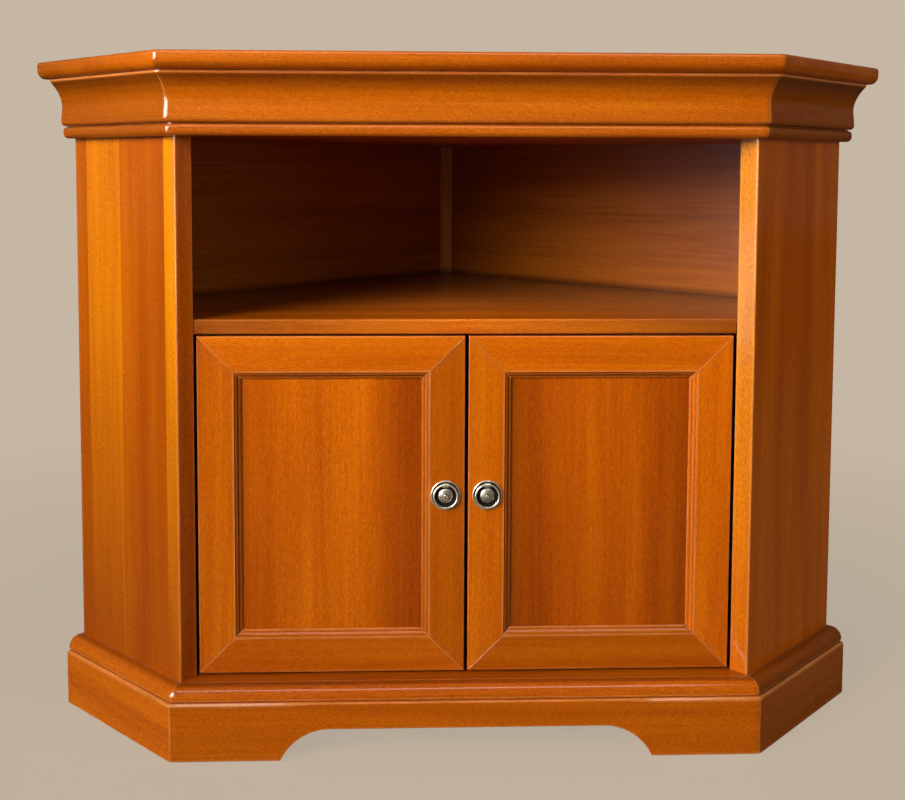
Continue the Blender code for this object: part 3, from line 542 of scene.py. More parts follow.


# %% [markdown]
# Painted light and shade complete the finishes. A shelf is painted lighter at the front and darker
# towards the room corner, where shade falls, so its tone falls with the sum of depth and distance
# from the middle. A painted shade also fills the seam between a back and the shelf that meets it.

# %% Darker towards the room corner and in a seam
CORNER_REACH = 0.13  # metres in front of the rear line, where the darkening is complete
# Painted light on the front of a shelf.
FRONT_PAINTED_LIGHT = 1.75
# A painted shade along the seam of a back with the shelf.
SEAM_WIDTH = 0.011
SEAM_TONE = 0.30


def corner_shade(tree, color, darkening):
    """Falls with |x| + y, which is the same all along each wall."""
    place = own_place(tree)
    depth = calc(tree, "ADD", calc(tree, "ABSOLUTE", place["X"]), place["Y"])
    rear = REAR_SUM + FRONT_Y - CORNER_REACH
    return shaded(tree, color, stretch(tree, depth, FRONT_Y, rear, FRONT_PAINTED_LIGHT, 1.0 - darkening))


def seam_shade(tree, color, height):
    """Dark at one height, and clear of it above and below."""
    gap = calc(tree, "ABSOLUTE", calc(tree, "SUBTRACT", own_place(tree)["Z"], height))
    return shaded(tree, color, stretch(tree, gap, 0.0, SEAM_WIDTH, SEAM_TONE, 1.0))


# %% Make a wood finish
PALE = (0.760, 0.203, 0.0020, 1)
MIDDLE = (0.560, 0.112, 0.0006, 1)
DARK = (0.290, 0.044, 0.0004, 1)
# The next two colours are real glaze in the hollows and real wear on the arrises, and they also paint the
# shade in the hollows and the highlight on the arrises.
GLAZE_AND_SHADE = (0.090, 0.012, 0.0010, 1)
WORN_AND_HIGHLIGHT = (0.950, 0.430, 0.1400, 1)
BANDS = 0.75
RIPPLE = 0.35  # of the lacquer, beside the relief of the pores
UNDER_GLOSS = 0.04  # of the wood itself; the lacquer over it carries the gloss


def wood(name, place=own_board, palette=(PALE, MIDDLE, DARK), staves=(), low_shade=None, streaks=0.40, dashes=1.1,
         flecks=0.5, roughness=0.38, coat=0.60, coat_roughness=0.11, wear_and_highlight=0.45, glaze_and_shade=0.8, corner=0.0,
         seam=None, relief=0.00004):
    """A lacquered wood: figure, then staves, the board's tone, painted shade in a corner and a seam, edges,
    lacquer.
    """
    material, tree, shader = new_material(name)
    board = place(tree)
    pale, middle, dark = palette
    figure = use(tree, figure_group, Board=board, Pale=pale, Middle=middle, Dark=dark, Bands=BANDS,
                 Streaks=streaks, Dashes=dashes, Flecks=flecks)
    color, worn = figure["Color"], 0.0
    if staves:
        color = staved(tree, color, board, staves, low_shade)
    if place is own_board:
        color = shaded(tree, color, carried(tree, "tone")[1])
    if corner:
        color = corner_shade(tree, color, corner)
    if seam:
        color = seam_shade(tree, color, seam)
    if place is own_board:
        edges = use(tree, edges_group, Edge=carried(tree, "edge")[1], Board=board, Color=color, Worn=WORN_AND_HIGHLIGHT,
                    Glaze=GLAZE_AND_SHADE, Wear=wear_and_highlight, Depth=glaze_and_shade)
        color, worn = edges["Color"], edges["Wear"]
    lacquer = use(tree, lacquer_group, Board=board, Roughness=roughness, Fleck=figure["Fleck"], Wear=worn)
    height = calc(tree, "MULTIPLY_ADD", lacquer["Height"], RIPPLE, figure["Height"])
    bumps = add(tree, "ShaderNodeBump", {"Height": height, "Strength": 1.0, "Distance": relief})
    tree.links.new(color, shader.inputs["Base Color"])
    tree.links.new(lacquer["Roughness"], shader.inputs["Roughness"])
    tree.links.new(bumps.outputs[0], shader.inputs["Normal"])
    shader.inputs["Specular IOR Level"].default_value = UNDER_GLOSS
    shader.inputs["Coat Weight"].default_value = coat
    shader.inputs["Coat Roughness"].default_value = coat_roughness
    return material


# %% [markdown]
# The staves are listed by width, from the front edge of a side and from the left edge of a panel,
# each with half its tone, first for red and then for green and blue. The sides are painted darker
# near the floor, painted shade where less light reaches. The door frames need two finishes: on the
# members above and left of the panels the moulded inner edge faces away from the light and is
# painted dark, painted shade, and on the others it is not.

# %% The cherry finishes
# Painted shade near the floor, deeper on the left side than on the right.
LOW_SHADES = {-1: (0.35, 0.32, 0.32, 1), 1: (0.56, 0.56, 0.54, 1)}
SIDE_STAVES = {
    -1: [(0.001, (0.54, 0.50)), (0.021, (0.60, 0.88)), (0.052, (0.36, 0.33)), (0.038, (0.39, 0.37)),
         (0.074, (0.53, 0.68)), (0.026, (0.38, 0.36))],
    1: [(0.001, (0.63, 0.93)), (0.059, (0.54, 0.52)), (0.085, (0.50, 0.46)), (0.067, (0.56, 0.54))],
}
PANEL_STAVES = {
    -1: [(0.028, (0.36, 0.31)), (0.040, (0.44, 0.39)), (0.040, (0.53, 0.52)), (0.040, (0.56, 0.57)),
         (0.040, (0.55, 0.55)), (0.020, (0.35, 0.28)), (0.009, (0.32, 0.26))],
    1: [(0.028, (0.22, 0.19)), (0.040, (0.31, 0.25)), (0.040, (0.43, 0.37)), (0.040, (0.46, 0.41)),
        (0.040, (0.50, 0.47)), (0.020, (0.37, 0.31)), (0.009, (0.33, 0.28))],
}
WORDS = {-1: "left", 1: "right"}

cherry = wood("cherry", wear_and_highlight=0.4)
# Two copies of the door finish: one with painted shade in the moulded edge, one lit, without it.
cherry_doors = {
    "dark": wood("cherry_doors_dark", dashes=0.75, wear_and_highlight=0.3, glaze_and_shade=1.0),
    "light": wood("cherry_doors_light", dashes=0.75, wear_and_highlight=0.4, glaze_and_shade=0.0),
}
# The shelf is painted lighter at the front and darker towards the room corner: painted light and shade.
cherry_shelf = wood("cherry_shelf", streaks=0.9, dashes=0.9, coat=0.65, coat_roughness=0.08, wear_and_highlight=0.25,
                    corner=0.74)
cherry_sides = {
    side: wood(f"cherry_{word}_side", staves=SIDE_STAVES[side], low_shade=LOW_SHADES[side])
    for side, word in WORDS.items()
}
cherry_panels = {
    side: wood(f"cherry_{word}_panel", staves=PANEL_STAVES[side], dashes=0.9, flecks=0.6, wear_and_highlight=0.0)
    for side, word in WORDS.items()
}
print("wood finishes:", len([m for m in bpy.data.materials if m.name.startswith("cherry")]))

# %% [markdown]
# ## The top
#
# The top is one board with a small round above and a large one below, like a bullnose that leans
# out. It could be an extruded outline with a bevel, but a bevel cannot be longer one way than the
# other. Here the outline itself is the ring, and each height has the outline at its own offset.
# It reaches out further in front than at the sides. The front corners of the outline are rounded
# in plan, as sanding leaves them, and that rounding gives the bright streak on the left corner.
# The edge along the left side is painted darker, painted shade.

# %% Measure the top
TOP_CORNER_ROUND = 0.011  # of the front corners, in plan
TOP_UPPER_ROUND = 0.0045
TOP_LOWER_ROUND = 0.011
TOP_LOWER_REACH = 0.0095
TOP_FRONT_STRETCH = 1.65  # the lower round reaches further in under the front
TOP_FLAT_STEPS = [0.008, 0.002]  # extra outlines on the flat faces, which keep wear at the edge
# Painted shade: the edge along the left side of the top is painted darker.
LEFT_EDGE_SHADE_TONES = (0.51, 0.95)  # on the left, and everywhere else

slab_low, slab_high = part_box("top_slab")
TOP_OVERHANG = offset_of("top_slab")
TOP_TO_WALL = (slab_high.y - board_high.y) * S
TOP_SIDE_OVERHANG = (2 * slab_high.x - (slab_high.y - FRONT_Y) - HALF_FRONT) * S
print(f"overhang: front {TOP_OVERHANG:.4f}, sides {TOP_SIDE_OVERHANG:.4f}")

# %% Draw outlines in plan
def mirrored(right):
    """A closed plan outline from its right half, listed from front to back."""
    left = right[::-1] * np.array([-1, 1])
    return np.concatenate([right, left[1:] if abs(right[-1, 0]) < 1e-9 else left])


def meeting(total, difference):
    """The plan point whose x and y have this sum (a wall line) and this difference (a side line)."""
    return (total + difference) / 2, (total - difference) / 2


def at_height(outline, z):
    """World points of a plan outline, whose y starts at the front line, at one height."""
    return np.column_stack([outline[:, 0], FRONT_Y + outline[:, 1], np.full(len(outline), z)])


def top_outline(inset, front_inset):
    """The top, drawn in by two insets: on the right a rounded corner, the wall end, the room corner."""
    front = TOP_OVERHANG - front_inset
    side = TOP_SIDE_OVERHANG - inset
    centre_x = HALF_FRONT + (side - TOP_CORNER_ROUND) / S - (front - TOP_CORNER_ROUND)
    corner = arc((centre_x, TOP_CORNER_ROUND - front), (TOP_CORNER_ROUND,) * 2, -90, -45, 10)
    total = REAR_SUM + TOP_TO_WALL / S
    difference = HALF_FRONT + side / S
    return mirrored(np.concatenate([corner, [meeting(total, difference), (0.0, total)]]))


# %% Make the top
def slab_rings():
    """Outline at each height: in by 1 - sin on the quarter ellipse below, by 1 - cos on the one above."""
    lower = np.radians(np.linspace(0, 90, 15))
    upper = np.radians(np.linspace(0, 90, 9))
    inset = np.concatenate([TOP_LOWER_REACH * (1 - np.sin(lower)), TOP_UPPER_ROUND * (1 - np.cos(upper))])
    height = np.concatenate([
        slab_low.z + TOP_LOWER_ROUND * (1 - np.cos(lower)),
        slab_high.z - TOP_UPPER_ROUND * (1 - np.sin(upper)),
    ])
    flat = np.array(TOP_FLAT_STEPS)
    inset = np.concatenate([TOP_LOWER_REACH + flat, inset, TOP_UPPER_ROUND + flat[::-1]])
    height = np.concatenate([[slab_low.z] * 2, height, [slab_high.z] * 2])
    rings = []
    for depth, z in zip(inset, height):
        below = z < (slab_low.z + slab_high.z) / 2
        rings.append(at_height(top_outline(depth, depth * TOP_FRONT_STRETCH if below else depth), z))
    return np.array(rings)


def left_edge_shade(places):
    """The edge along the left side is painted darker, a painted shade; the top face and the front keep their
    tone.
    """
    x, _, z = places.T
    left = (x < -HALF_FRONT - TOP_OVERHANG * TAN_HALF) & (z < slab_high.z - 0.0002)
    return np.where(left, *LEFT_EDGE_SHADE_TONES)


top_board = solid("top_board", slab_rings())
finish_piece(top_board, "cabinet", cherry, ["top_slab"], LYING, tone=left_edge_shade)

# %% [markdown]
# ## Mitred mouldings
#
# The cornice, the bead, the base moulding and the plinth are each three lengths of one section,
# mitred where front and side meet. Along a length, the section stands still until it comes near
# the mitre. There it follows the rounding of the corner: it moves back by R(tan a - sin p) from
# the sharp corner and in by R(1 - cos p), with a half the turn of the corner and p from 0 to a.
# The last ring steps in a hair further, which leaves the fine line of a glued mitre. Only the
# visible faces are rounded. The hidden face against the carcass stays flat.

# %% Round the ends at a mitre
MITRE_LINE = 0.00012
CORNER_ROUND = 0.012  # of the mitred front corners, in plan
LEVEL_AFTER = 0.002  # from the end of the rounding to the first section at full depth


def rounded_end():
    """Distance from the sharp corner and step inwards of each section, from the mitre inwards."""
    turn = np.linspace(TURN / 2, 0, 9)
    back = CORNER_ROUND * (TAN_HALF - np.sin(turn))
    sink = CORNER_ROUND * (1 - np.cos(turn))
    back = np.concatenate([back[:1], back + MITRE_LINE, [back[-1] + LEVEL_AFTER]])
    return back, np.concatenate([sink[:1] + MITRE_LINE, sink, [0.0]])


def sunk(q, sink):
    """Offsets of a section at each step inwards; the points on the carcass line stay on it."""
    return q - sink[:, None] * (q > q.min() + 1e-5)


# %% Carry a section along the front and the sides
def along_front(section):
    """Rings of a length that is mitred at both ends."""
    back, sink = rounded_end()
    q, z = section.T
    ends = HALF_FRONT + q * TAN_HALF - JOINT / 2 - back[:, None]
    depth = sunk(q, sink)
    middle = np.linspace(1, -1, 12)[1:-1, None] * ends[-1]
    x = np.concatenate([ends, middle, -ends[::-1]])
    depth = np.concatenate([depth, np.repeat(depth[-1:], len(middle), axis=0), depth[::-1]])
    return front_point(x, depth, z)


def along_side(side, section):
    """Rings of a length that is mitred in front and square at the wall."""
    back, sink = rounded_end()
    q, z = section.T
    start = JOINT / 2 + back[:, None] - q * TAN_HALF
    rest = start[-1] + np.linspace(0, 1, 6)[1:, None] * (SIDE_RUN - start[-1])
    run = np.concatenate([start, rest])
    depth = sunk(q, sink)
    depth = np.concatenate([depth, np.repeat(depth[-1:], len(rest), axis=0)])
    return side_point(side, run, depth, z)


def side_length(name, node, side, section, tone):
    """The left or right length of a moulding."""
    piece = solid(name, along_side(side, section))
    finish_piece(piece, "cabinet", cherry, [f"{node}_{WORDS[side]}"], ALONG_SIDE[side], tone=tone)


def three_lengths(name, node, section, front, left, right):
    """All three lengths of one moulding, each with its own tone, which also paints its shading."""
    piece = solid(f"{name}_front", along_front(section))
    finish_piece(piece, "cabinet", cherry, [f"{node}_front"], tone=front)
    for side, tone in ((-1, left), (1, right)):
        side_length(f"{name}_{WORDS[side]}", node, side, section, tone)


# %% [markdown]
# The cornice is a cove: a small bulging foot, a waist, then a hollow that opens faster and faster,
# and a narrow fillet under the top. The hollow's offset grows as the square of the height above the
# waist, which looks drawn by hand where a quarter circle would look mechanical. The hollow is
# painted darker, a painted shadow of the top, and the fillet above it paler, a painted highlight.
# The lengths on the sides are painted darker than the front, painted shade.

# %% Make the cornice
COVE_WAIST_OFFSET = 0.0172
COVE_FOOT_OFFSET = 0.0187
COVE_FOOT_ROUND = 0.005
COVE_WAIST_SHARE = 0.42
COVE_FILLET = 0.0024
SMALL_ARRIS = 0.0004
HOLLOW_SHARES = [0.60, 0.92, 0.955]  # of the height: where the hollow starts, its end, the fillet
# Painted shadow of the top in the hollow, and a painted highlight on the fillet.
HOLLOW_SHADOW_AND_HIGHLIGHT = [1.0, 0.60, 1.6]


def cornice_section():
    """From the front of the foot up over waist and hollow to the top, and down the hidden face."""
    low, high = heights_of("cornice_front")
    top_offset = offset_of("cornice_front")
    foot = low + COVE_FOOT_ROUND
    waist = low + (high - low) * COVE_WAIST_SHARE
    hollow = high - COVE_FILLET
    round_foot = arc((COVE_FOOT_OFFSET - COVE_FOOT_ROUND, foot), (COVE_FOOT_ROUND,) * 2, -90, 0, 10)
    share = np.linspace(0, 1, 9)[1:]
    swell = COVE_FOOT_OFFSET + (COVE_WAIST_OFFSET - COVE_FOOT_OFFSET) * (1 - np.cos(math.pi * share)) / 2
    body = np.column_stack([swell, foot + (waist - foot) * share])
    share = np.linspace(0, 1, 25)[1:]
    opening = COVE_WAIST_OFFSET + (top_offset - COVE_WAIST_OFFSET) * share**2
    cove = np.column_stack([opening, waist + (hollow - waist) * share])
    top = [(top_offset, high), (JOINT, high), (JOINT, low)]
    return refine(ease(np.concatenate([round_foot, body, cove, top]), SMALL_ARRIS))


def cove_shadow_and_highlight(level):
    """A painted shadow of the top in the hollow under it, and a painted highlight on the fillet above it."""
    low, high = heights_of("cornice_front")
    heights = low + (high - low) * np.array(HOLLOW_SHARES)
    return lambda places: level * np.interp(places[:, 2], heights, HOLLOW_SHADOW_AND_HIGHLIGHT)


three_lengths("cove", "cornice", cornice_section(), cove_shadow_and_highlight(0.86), cove_shadow_and_highlight(0.60), cove_shadow_and_highlight(0.60))

# %% [markdown]
# Under the cornice runs a half-round bead with a groove above it. The groove is the dark line that
# parts the two.

# %% Make the bead
GROOVE_OFFSET = 0.011
BEAD_HEIGHT = 0.0134
BEAD_UPPER_ROUND = 0.0045
BEAD_LOWER_ROUND = 0.0065


def bead_section():
    """The half-round in two quarters, then in to the groove and up to the cornice."""
    low, high = heights_of("bead_front")
    offset = offset_of("bead_front")
    top = low + BEAD_HEIGHT
    lower = arc((offset - BEAD_LOWER_ROUND, low + BEAD_LOWER_ROUND), (BEAD_LOWER_ROUND,) * 2, -90, 0, 10)
    upper = arc((offset - BEAD_UPPER_ROUND, top - BEAD_UPPER_ROUND), (BEAD_UPPER_ROUND,) * 2, 0, 90, 8)
    rest = [(GROOVE_OFFSET, top), (GROOVE_OFFSET, high), (JOINT, high), (JOINT, low)]
    return refine(ease(np.concatenate([lower, upper, rest]), SMALL_ARRIS))


# The side lengths of the bead are painted darker than the front: painted shade.
three_lengths("half_round", "bead", bead_section(), 0.87, 0.60, 0.56)

# %% [markdown]
# The base moulding is an ovolo, a quarter ellipse that rolls over from the floor of the cupboard,
# with a square fillet and a fine quirk under it. The flat ledge above the roll, on which the
# carcass stands, is painted darker, painted shade, and so are the side lengths, the right one most.

# %% Make the base moulding
BASE_LEDGE = 0.008
QUIRK_HEIGHT = 0.0015
QUIRK_DEPTH = 0.002
FILLET_HEIGHT = 0.002
LEDGE_FADE = [0.0016, 0.0002]  # under the top: where the roll's tone ends, where the ledge's starts


def base_section():
    """Quirk and fillet from below, then the quarter ellipse up to the ledge."""
    low, high = heights_of("base_moulding_front")
    offset = offset_of("base_moulding_front")
    fillet = low + QUIRK_HEIGHT + FILLET_HEIGHT
    start = [(JOINT, low), (offset - QUIRK_DEPTH, low), (offset - QUIRK_DEPTH, low + QUIRK_HEIGHT),
             (offset, low + QUIRK_HEIGHT)]
    roll = arc((BASE_LEDGE, fillet), (offset - BASE_LEDGE, high - fillet), 0, 90, 20)
    return refine(ease(np.concatenate([start, roll, [(JOINT, high)]]), SMALL_ARRIS))


def base_tone(roll, ledge):
    """One tone on the roll and another, a painted shade, on the ledge."""
    heights = heights_of("base_moulding_front")[1] - np.array(LEDGE_FADE)
    return lambda places: np.interp(places[:, 2], heights, [roll, ledge])


# The ledge is painted darker than the roll, and the side lengths darker than the front, the right one most:
# painted shade.
three_lengths("base_roll", "base_moulding", base_section(), base_tone(1.10, 0.60), base_tone(0.95, 0.75),
              base_tone(0.50, 0.42))

# %% [markdown]
# ## The plinth
#
# The plinth is three boards under the moulding. The front one is cut out to a flat arch on round
# shoulders, so that it stands on two feet. Its section changes along its length: the lower edge
# follows z = h - R + sqrt(R^2 - d^2), with d the distance past the end of the flat. Each point of
# the section has a share of the height and a fixed lift, so the rounded arrises keep their size.

# %% Draw the plinth's section and its arch
PLINTH_THICKNESS = 0.022
PLINTH_CHAMFER = 0.0022
ARCH_HEIGHT = 0.0363
ARCH_HALF_FLAT = 0.1567
ARCH_RADIUS = 0.062
PLINTH_ARRIS = 0.0008

plinth_top = heights_of("plinth_front")[1]
PLINTH_OFFSET = offset_of("plinth_front")
PLINTH_INNER = PLINTH_OFFSET - PLINTH_THICKNESS


def plinth_section():
    """An upright board with a chamfer on its upper outer edge."""
    corners = [(PLINTH_INNER, 0.0), (PLINTH_OFFSET, 0.0), (PLINTH_OFFSET, plinth_top - PLINTH_CHAMFER),
               (PLINTH_OFFSET - PLINTH_CHAMFER, plinth_top), (PLINTH_INNER, plinth_top)]
    return refine(ease(corners, PLINTH_ARRIS))


def arch_bottom(x):
    """Height of the lower edge of the front board at each x."""
    past = np.abs(x) - ARCH_HALF_FLAT
    shoulder = ARCH_HEIGHT - ARCH_RADIUS + np.sqrt(np.maximum(ARCH_RADIUS**2 - np.maximum(past, 0) ** 2, 0))
    return np.where(past > 0, np.maximum(shoulder, 0), ARCH_HEIGHT)


def arch_stations(outer_x):
    """Places along the front board, close together on the shoulders of the arch."""
    foot = ARCH_HALF_FLAT + math.sqrt(ARCH_RADIUS**2 - (ARCH_HEIGHT - ARCH_RADIUS) ** 2)
    turn = np.linspace(0, math.asin((foot - ARCH_HALF_FLAT) / ARCH_RADIUS), 25)
    shoulder = ARCH_HALF_FLAT + ARCH_RADIUS * np.sin(turn)
    half = np.concatenate([between(0, ARCH_HALF_FLAT, 0.02)[:-1], shoulder, between(foot, outer_x, 0.01)[1:]])
    return np.concatenate([-half[:0:-1], half])


# %% Make the plinth
def front_plinth_rings():
    """The plinth section along the front, with its lower part raised to the arch."""
    back, sink = rounded_end()
    q, z = plinth_section().T
    stations = arch_stations(HALF_FRONT - back[-1] - JOINT)
    middle_x = np.repeat(stations[:, None], len(q), axis=1)
    ends_x = HALF_FRONT + q * TAN_HALF - JOINT / 2 - back[:, None]
    x = np.concatenate([-ends_x, middle_x, ends_x[::-1]])
    depth = sunk(q, sink)
    flat = np.repeat(q[None], len(stations), axis=0)
    depth = np.concatenate([depth, flat, depth[::-1]])
    lift = np.minimum(z, PLINTH_ARRIS)
    share = np.where(z > PLINTH_ARRIS, (z - PLINTH_ARRIS) / (plinth_top - PLINTH_ARRIS), 0)
    bottom = arch_bottom(x)
    height = bottom + lift + share * (plinth_top - bottom - PLINTH_ARRIS)
    return front_point(x, depth, height)


# The side boards are painted lighter on the left and darker on the right: painted light and shade.
PLINTH_SIDE_LIGHT_AND_SHADE = {-1: 1.08, 1: 0.74}  # of the boards on the sides

finish_piece(solid("front_plinth", front_plinth_rings()), "cabinet", cherry, ["plinth_front"])
for side, word in WORDS.items():
    side_length(f"{word}_plinth", "plinth", side, plinth_section(), PLINTH_SIDE_LIGHT_AND_SHADE[side])

# %% [markdown]
# ## The sides
#
# Each side is an upright board of glued staves, square-cut in front, so its thickness shows as a
# strip beside the doors. Its section, seen from above, has rounded front arrises and a rebate for
# the back. Behind the doors it has columns of holes for shelf pins, drilled here where the packed
# pins are.

# %% Make the side boards
PANEL_THICKNESS = 0.023
BACK_REBATE = 0.010
BOARD_ARRIS = 0.0018
PIN_HOLE_PITCH = 0.032
PIN_HOLE_RADIUS = 0.0028
PIN_HOLE_DEPTH = 0.0093
PIN_MIDDLE = 0.0005  # from the inner face of the board to the middle of a pin
BACK_THICKNESS = 0.006


def side_section():
    """Run and q of a side board; only its two front corners are rounded."""
    inner = -PANEL_THICKNESS
    front = ease([(0.02, inner), (0, inner), (0, 0), (0.02, 0)], BOARD_ARRIS, 6)
    front = front[front[:, 0] < 0.015]
    step = BACK_REBATE - PANEL_THICKNESS
    rebate = SIDE_RUN - (BACK_THICKNESS + JOINT)
    rear = [(SIDE_RUN, 0), (SIDE_RUN, step), (rebate, step), (rebate, inner)]
    return refine(np.concatenate([front, rear]), 0.004)


def drill_pin_holes(board, side):
    """Two columns of three holes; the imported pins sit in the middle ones."""
    outwards = np.array([side * S, -S, 0])
    for place in ("front", "rear"):
        face = middle_of(f"shelf_pin_{WORDS[side]}_{place}") + outwards * PIN_MIDDLE
        for step in (-1, 0, 1):
            mouth = face + np.array([0, 0, step * PIN_HOLE_PITCH])
            drill(board, mouth, outwards, PIN_HOLE_DEPTH, PIN_HOLE_RADIUS)


for side, word in WORDS.items():
    run, q = side_section().T
    levels = between(*heights_of("side_panel_left"), 0.04)
    board = solid(f"{word}_side", side_point(side, run, q, levels[:, None]))
    drill_pin_holes(board, side)
    finish_piece(board, "cabinet", cherry_sides[side], [f"side_panel_{word}"], UP_SIDE[side],
                 origin=side_point(side, 0.0, 0.0, 0.0))

# %% [markdown]
# ## The shelf over the doors
#
# This shelf divides the open niche from the cupboard. Its front edge shows above the doors, so it
# gets rounded arrises, and its outline fits between sides and backs. The pivots of the doors turn
# in two holes in its underside. The edge is lipped with a darker strip than the top face.

# %% Make the niche shelf
DOOR_PIN_RADIUS = 0.0025
SHELF_FLAT_STEPS = [0.008, 0.003]  # extra outlines on the flat faces, which keep wear at the edge
LIPPING_TONE = 0.71

shelf_low, shelf_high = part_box("niche_shelf")


def shelf_rings():
    """The shelf's outline at each height; the front edge goes in by 1 - cos at both arrises."""
    low, high = shelf_low.z, shelf_high.z
    turn = np.radians(np.linspace(90, 0, 7))
    inset = BOARD_ARRIS * (1 - np.cos(turn))
    rise = BOARD_ARRIS * (1 - np.sin(turn))
    inset = np.concatenate([SHELF_FLAT_STEPS, inset, inset[::-1], SHELF_FLAT_STEPS[::-1]])
    height = np.concatenate([[low] * 2, low + rise, high - rise[::-1], [high] * 2])
    difference = HALF_FRONT - (PANEL_THICKNESS + JOINT) / S
    total = REAR_SUM - (BACK_THICKNESS + JOINT) / S
    rear = shelf_high.y - FRONT_Y
    rings = []
    for depth, z in zip(inset, height):
        front = shelf_low.y - FRONT_Y + depth
        right = [(front + difference, front), meeting(total, difference), (total - rear, rear)]
        rings.append(at_height(mirrored(np.array(right)), z))
    return np.array(rings)


def shelf_tone(places):
    """The lipping shows on the edge; the top face keeps its tone."""
    return np.where(places[:, 2] < shelf_high.z - 0.0004, LIPPING_TONE, 1.0)


shelf = solid("shelf_over_doors", shelf_rings())
for word in WORDS.values():
    pin = f"{word}_door_pin_top"
    x, y, _ = middle_of(pin)
    depth = heights_of(pin)[1] - shelf_low.z + JOINT
    drill(shelf, (x, y, shelf_low.z), (0, 0, 1), depth, DOOR_PIN_RADIUS + JOINT)
finish_piece(shelf, "cabinet", cherry_shelf, ["niche_shelf"], LYING, tone=shelf_tone)

# %% [markdown]
# ## The doors
#
# A door is a mitred frame round a loose panel. All four members have one section: a flat face, then
# a moulded inner edge that steps down in two quarter-rounds to the panel, and a groove behind it
# that holds the panel. Each member runs between two mitres at 45 degrees, so its ends move with the
# distance from the outer edge.

# %% Draw the section of a door frame
FRAME_WIDTH = 0.050
STICKING_WIDTH = 0.0078  # of the moulded inner edge
STICKING_STEP = 0.0009
STICKING_LEDGE = 0.0005
STICKING_LIP = 0.0006
PANEL_RECESS = 0.0062
PANEL_BOARD = 0.008  # thickness of the door panel
GROOVE_DEPTH = 0.008
REAR_ARRIS = 0.0008
CUT = 0.01  # back from the face, where the outline is cut in two to be rounded in parts


def frame_section(thickness):
    """Door frame section: distance in from the outer edge, and back from the face."""
    flat = FRAME_WIDTH - STICKING_WIDTH
    wide = (STICKING_WIDTH - STICKING_LEDGE) / 2
    deep = (PANEL_RECESS - STICKING_STEP - STICKING_LEDGE - STICKING_LIP) / 2
    front = ease([(0, CUT), (0, 0), (flat, 0), (flat, STICKING_STEP)], BOARD_ARRIS, 6)
    front = front[(front[:, 0] < flat - 0.002) & (front[:, 1] < 0.006)]
    lip = [(flat - 0.0004, 0), (flat - 0.0001, 0.0001), (flat, 0.0004)]
    first = arc((flat, STICKING_STEP + deep), (wide, deep), -90, 0, 10)
    second = arc((flat + wide + STICKING_LEDGE, PANEL_RECESS - STICKING_LIP), (wide, deep), -90, 0, 10)
    floor = FRAME_WIDTH - GROOVE_DEPTH
    rear_lip = PANEL_RECESS + PANEL_BOARD + 2 * JOINT
    groove = [(FRAME_WIDTH, PANEL_RECESS), (floor, PANEL_RECESS), (floor, rear_lip), (FRAME_WIDTH, rear_lip)]
    back = ease([(FRAME_WIDTH, CUT), (FRAME_WIDTH, thickness), (0, thickness), (0, CUT)], REAR_ARRIS)
    back = back[back[:, 1] != CUT]
    return refine(np.concatenate([front, lip, first, second, groove, back]))


# %% Run a member between its mitres
MITRE_REACH = 0.0012  # from the mitre to the first whole section


def member_rings(start, end, inwards, face_y, thickness):
    """Rings of a member between two outer corners, each given as (x, z)."""
    start, end, inwards = (np.array(v, float) for v in (start, end, inwards))
    length = np.linalg.norm(end - start)
    run = (end - start) / length
    u, v = frame_section(thickness).T
    back = np.array([0.0, MITRE_LINE, 2 * MITRE_LINE, MITRE_REACH])[:, None]
    sink = np.array([MITRE_LINE, 0.3 * MITRE_LINE, 0.0, 0.0])[:, None] * (1 - v / thickness)
    near = u + JOINT * S + back
    middle = np.linspace(0, 1, 8)[1:-1, None] * (length - 2 * near[-1]) + near[-1]
    along = np.concatenate([near, middle, length - near[::-1]])
    depth = np.concatenate([v + sink, np.repeat(v[None], len(middle), axis=0), v + sink[::-1]])
    x = start[0] + run[0] * along + inwards[0] * u
    z = start[1] + run[1] * along + inwards[1] * u
    return np.stack([x, face_y + depth, z], axis=-1)


def members_of(side):
    """Each member of a door: its outer corners, the way to the panel and the way of the grain."""
    door = f"{WORDS[side]}_door"
    outer_x = side * max(abs(corner.x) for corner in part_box(door + "_stile_outer"))
    inner_x = side * min(abs(corner.x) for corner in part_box(door + "_stile_inner"))
    bottom = heights_of(door + "_rail_bottom")[0]
    top = heights_of(door + "_rail_top")[1]
    return {
        "stile_outer": ((outer_x, bottom), (outer_x, top), (-side, 0), ALONG_Z),
        "stile_inner": ((inner_x, bottom), (inner_x, top), (side, 0), ALONG_Z),
        "rail_top": ((outer_x, top), (inner_x, top), (0, -1), ALONG_X),
        "rail_bottom": ((outer_x, bottom), (inner_x, bottom), (0, 1), ALONG_X),
    }


# %% [markdown]
# The panel is a plain board with soft edges. A rounded box is a rounded rectangle carried up, drawn
# in near its two ends by R - sqrt(R^2 - d^2).

# %% Make a rounded box
def rounded_box(low, high, radius, steps=4):
    """Rings of a box whose edges are quarter circles: the ring shrinks by R(1 - cos) near each end.

    One more ring lies four radii inside each end face.
    """
    low, high = np.array(low), np.array(high)
    turn = np.radians(np.linspace(90, 0, steps + 1))
    shrink = radius * (1 - np.cos(turn))
    rise = radius * (1 - np.sin(turn))
    inset = np.concatenate([[4 * radius], shrink, shrink[::-1], [4 * radius]])
    height = np.concatenate([[low[2]], low[2] + rise, high[2] - rise[::-1], [high[2]]])
    half = (high - low)[:2] / 2
    centre = (high + low)[:2] / 2
    corners = np.array([(-1, -1), (1, -1), (1, 1), (-1, 1)])
    rings = []
    for shrunk, z in zip(inset, height):
        reach = np.maximum(half - shrunk, 0.2 * half)
        ring = ease(corners * reach, radius, steps)
        rings.append(np.column_stack([ring + centre, np.full(len(ring), z)]))
    return np.array(rings)


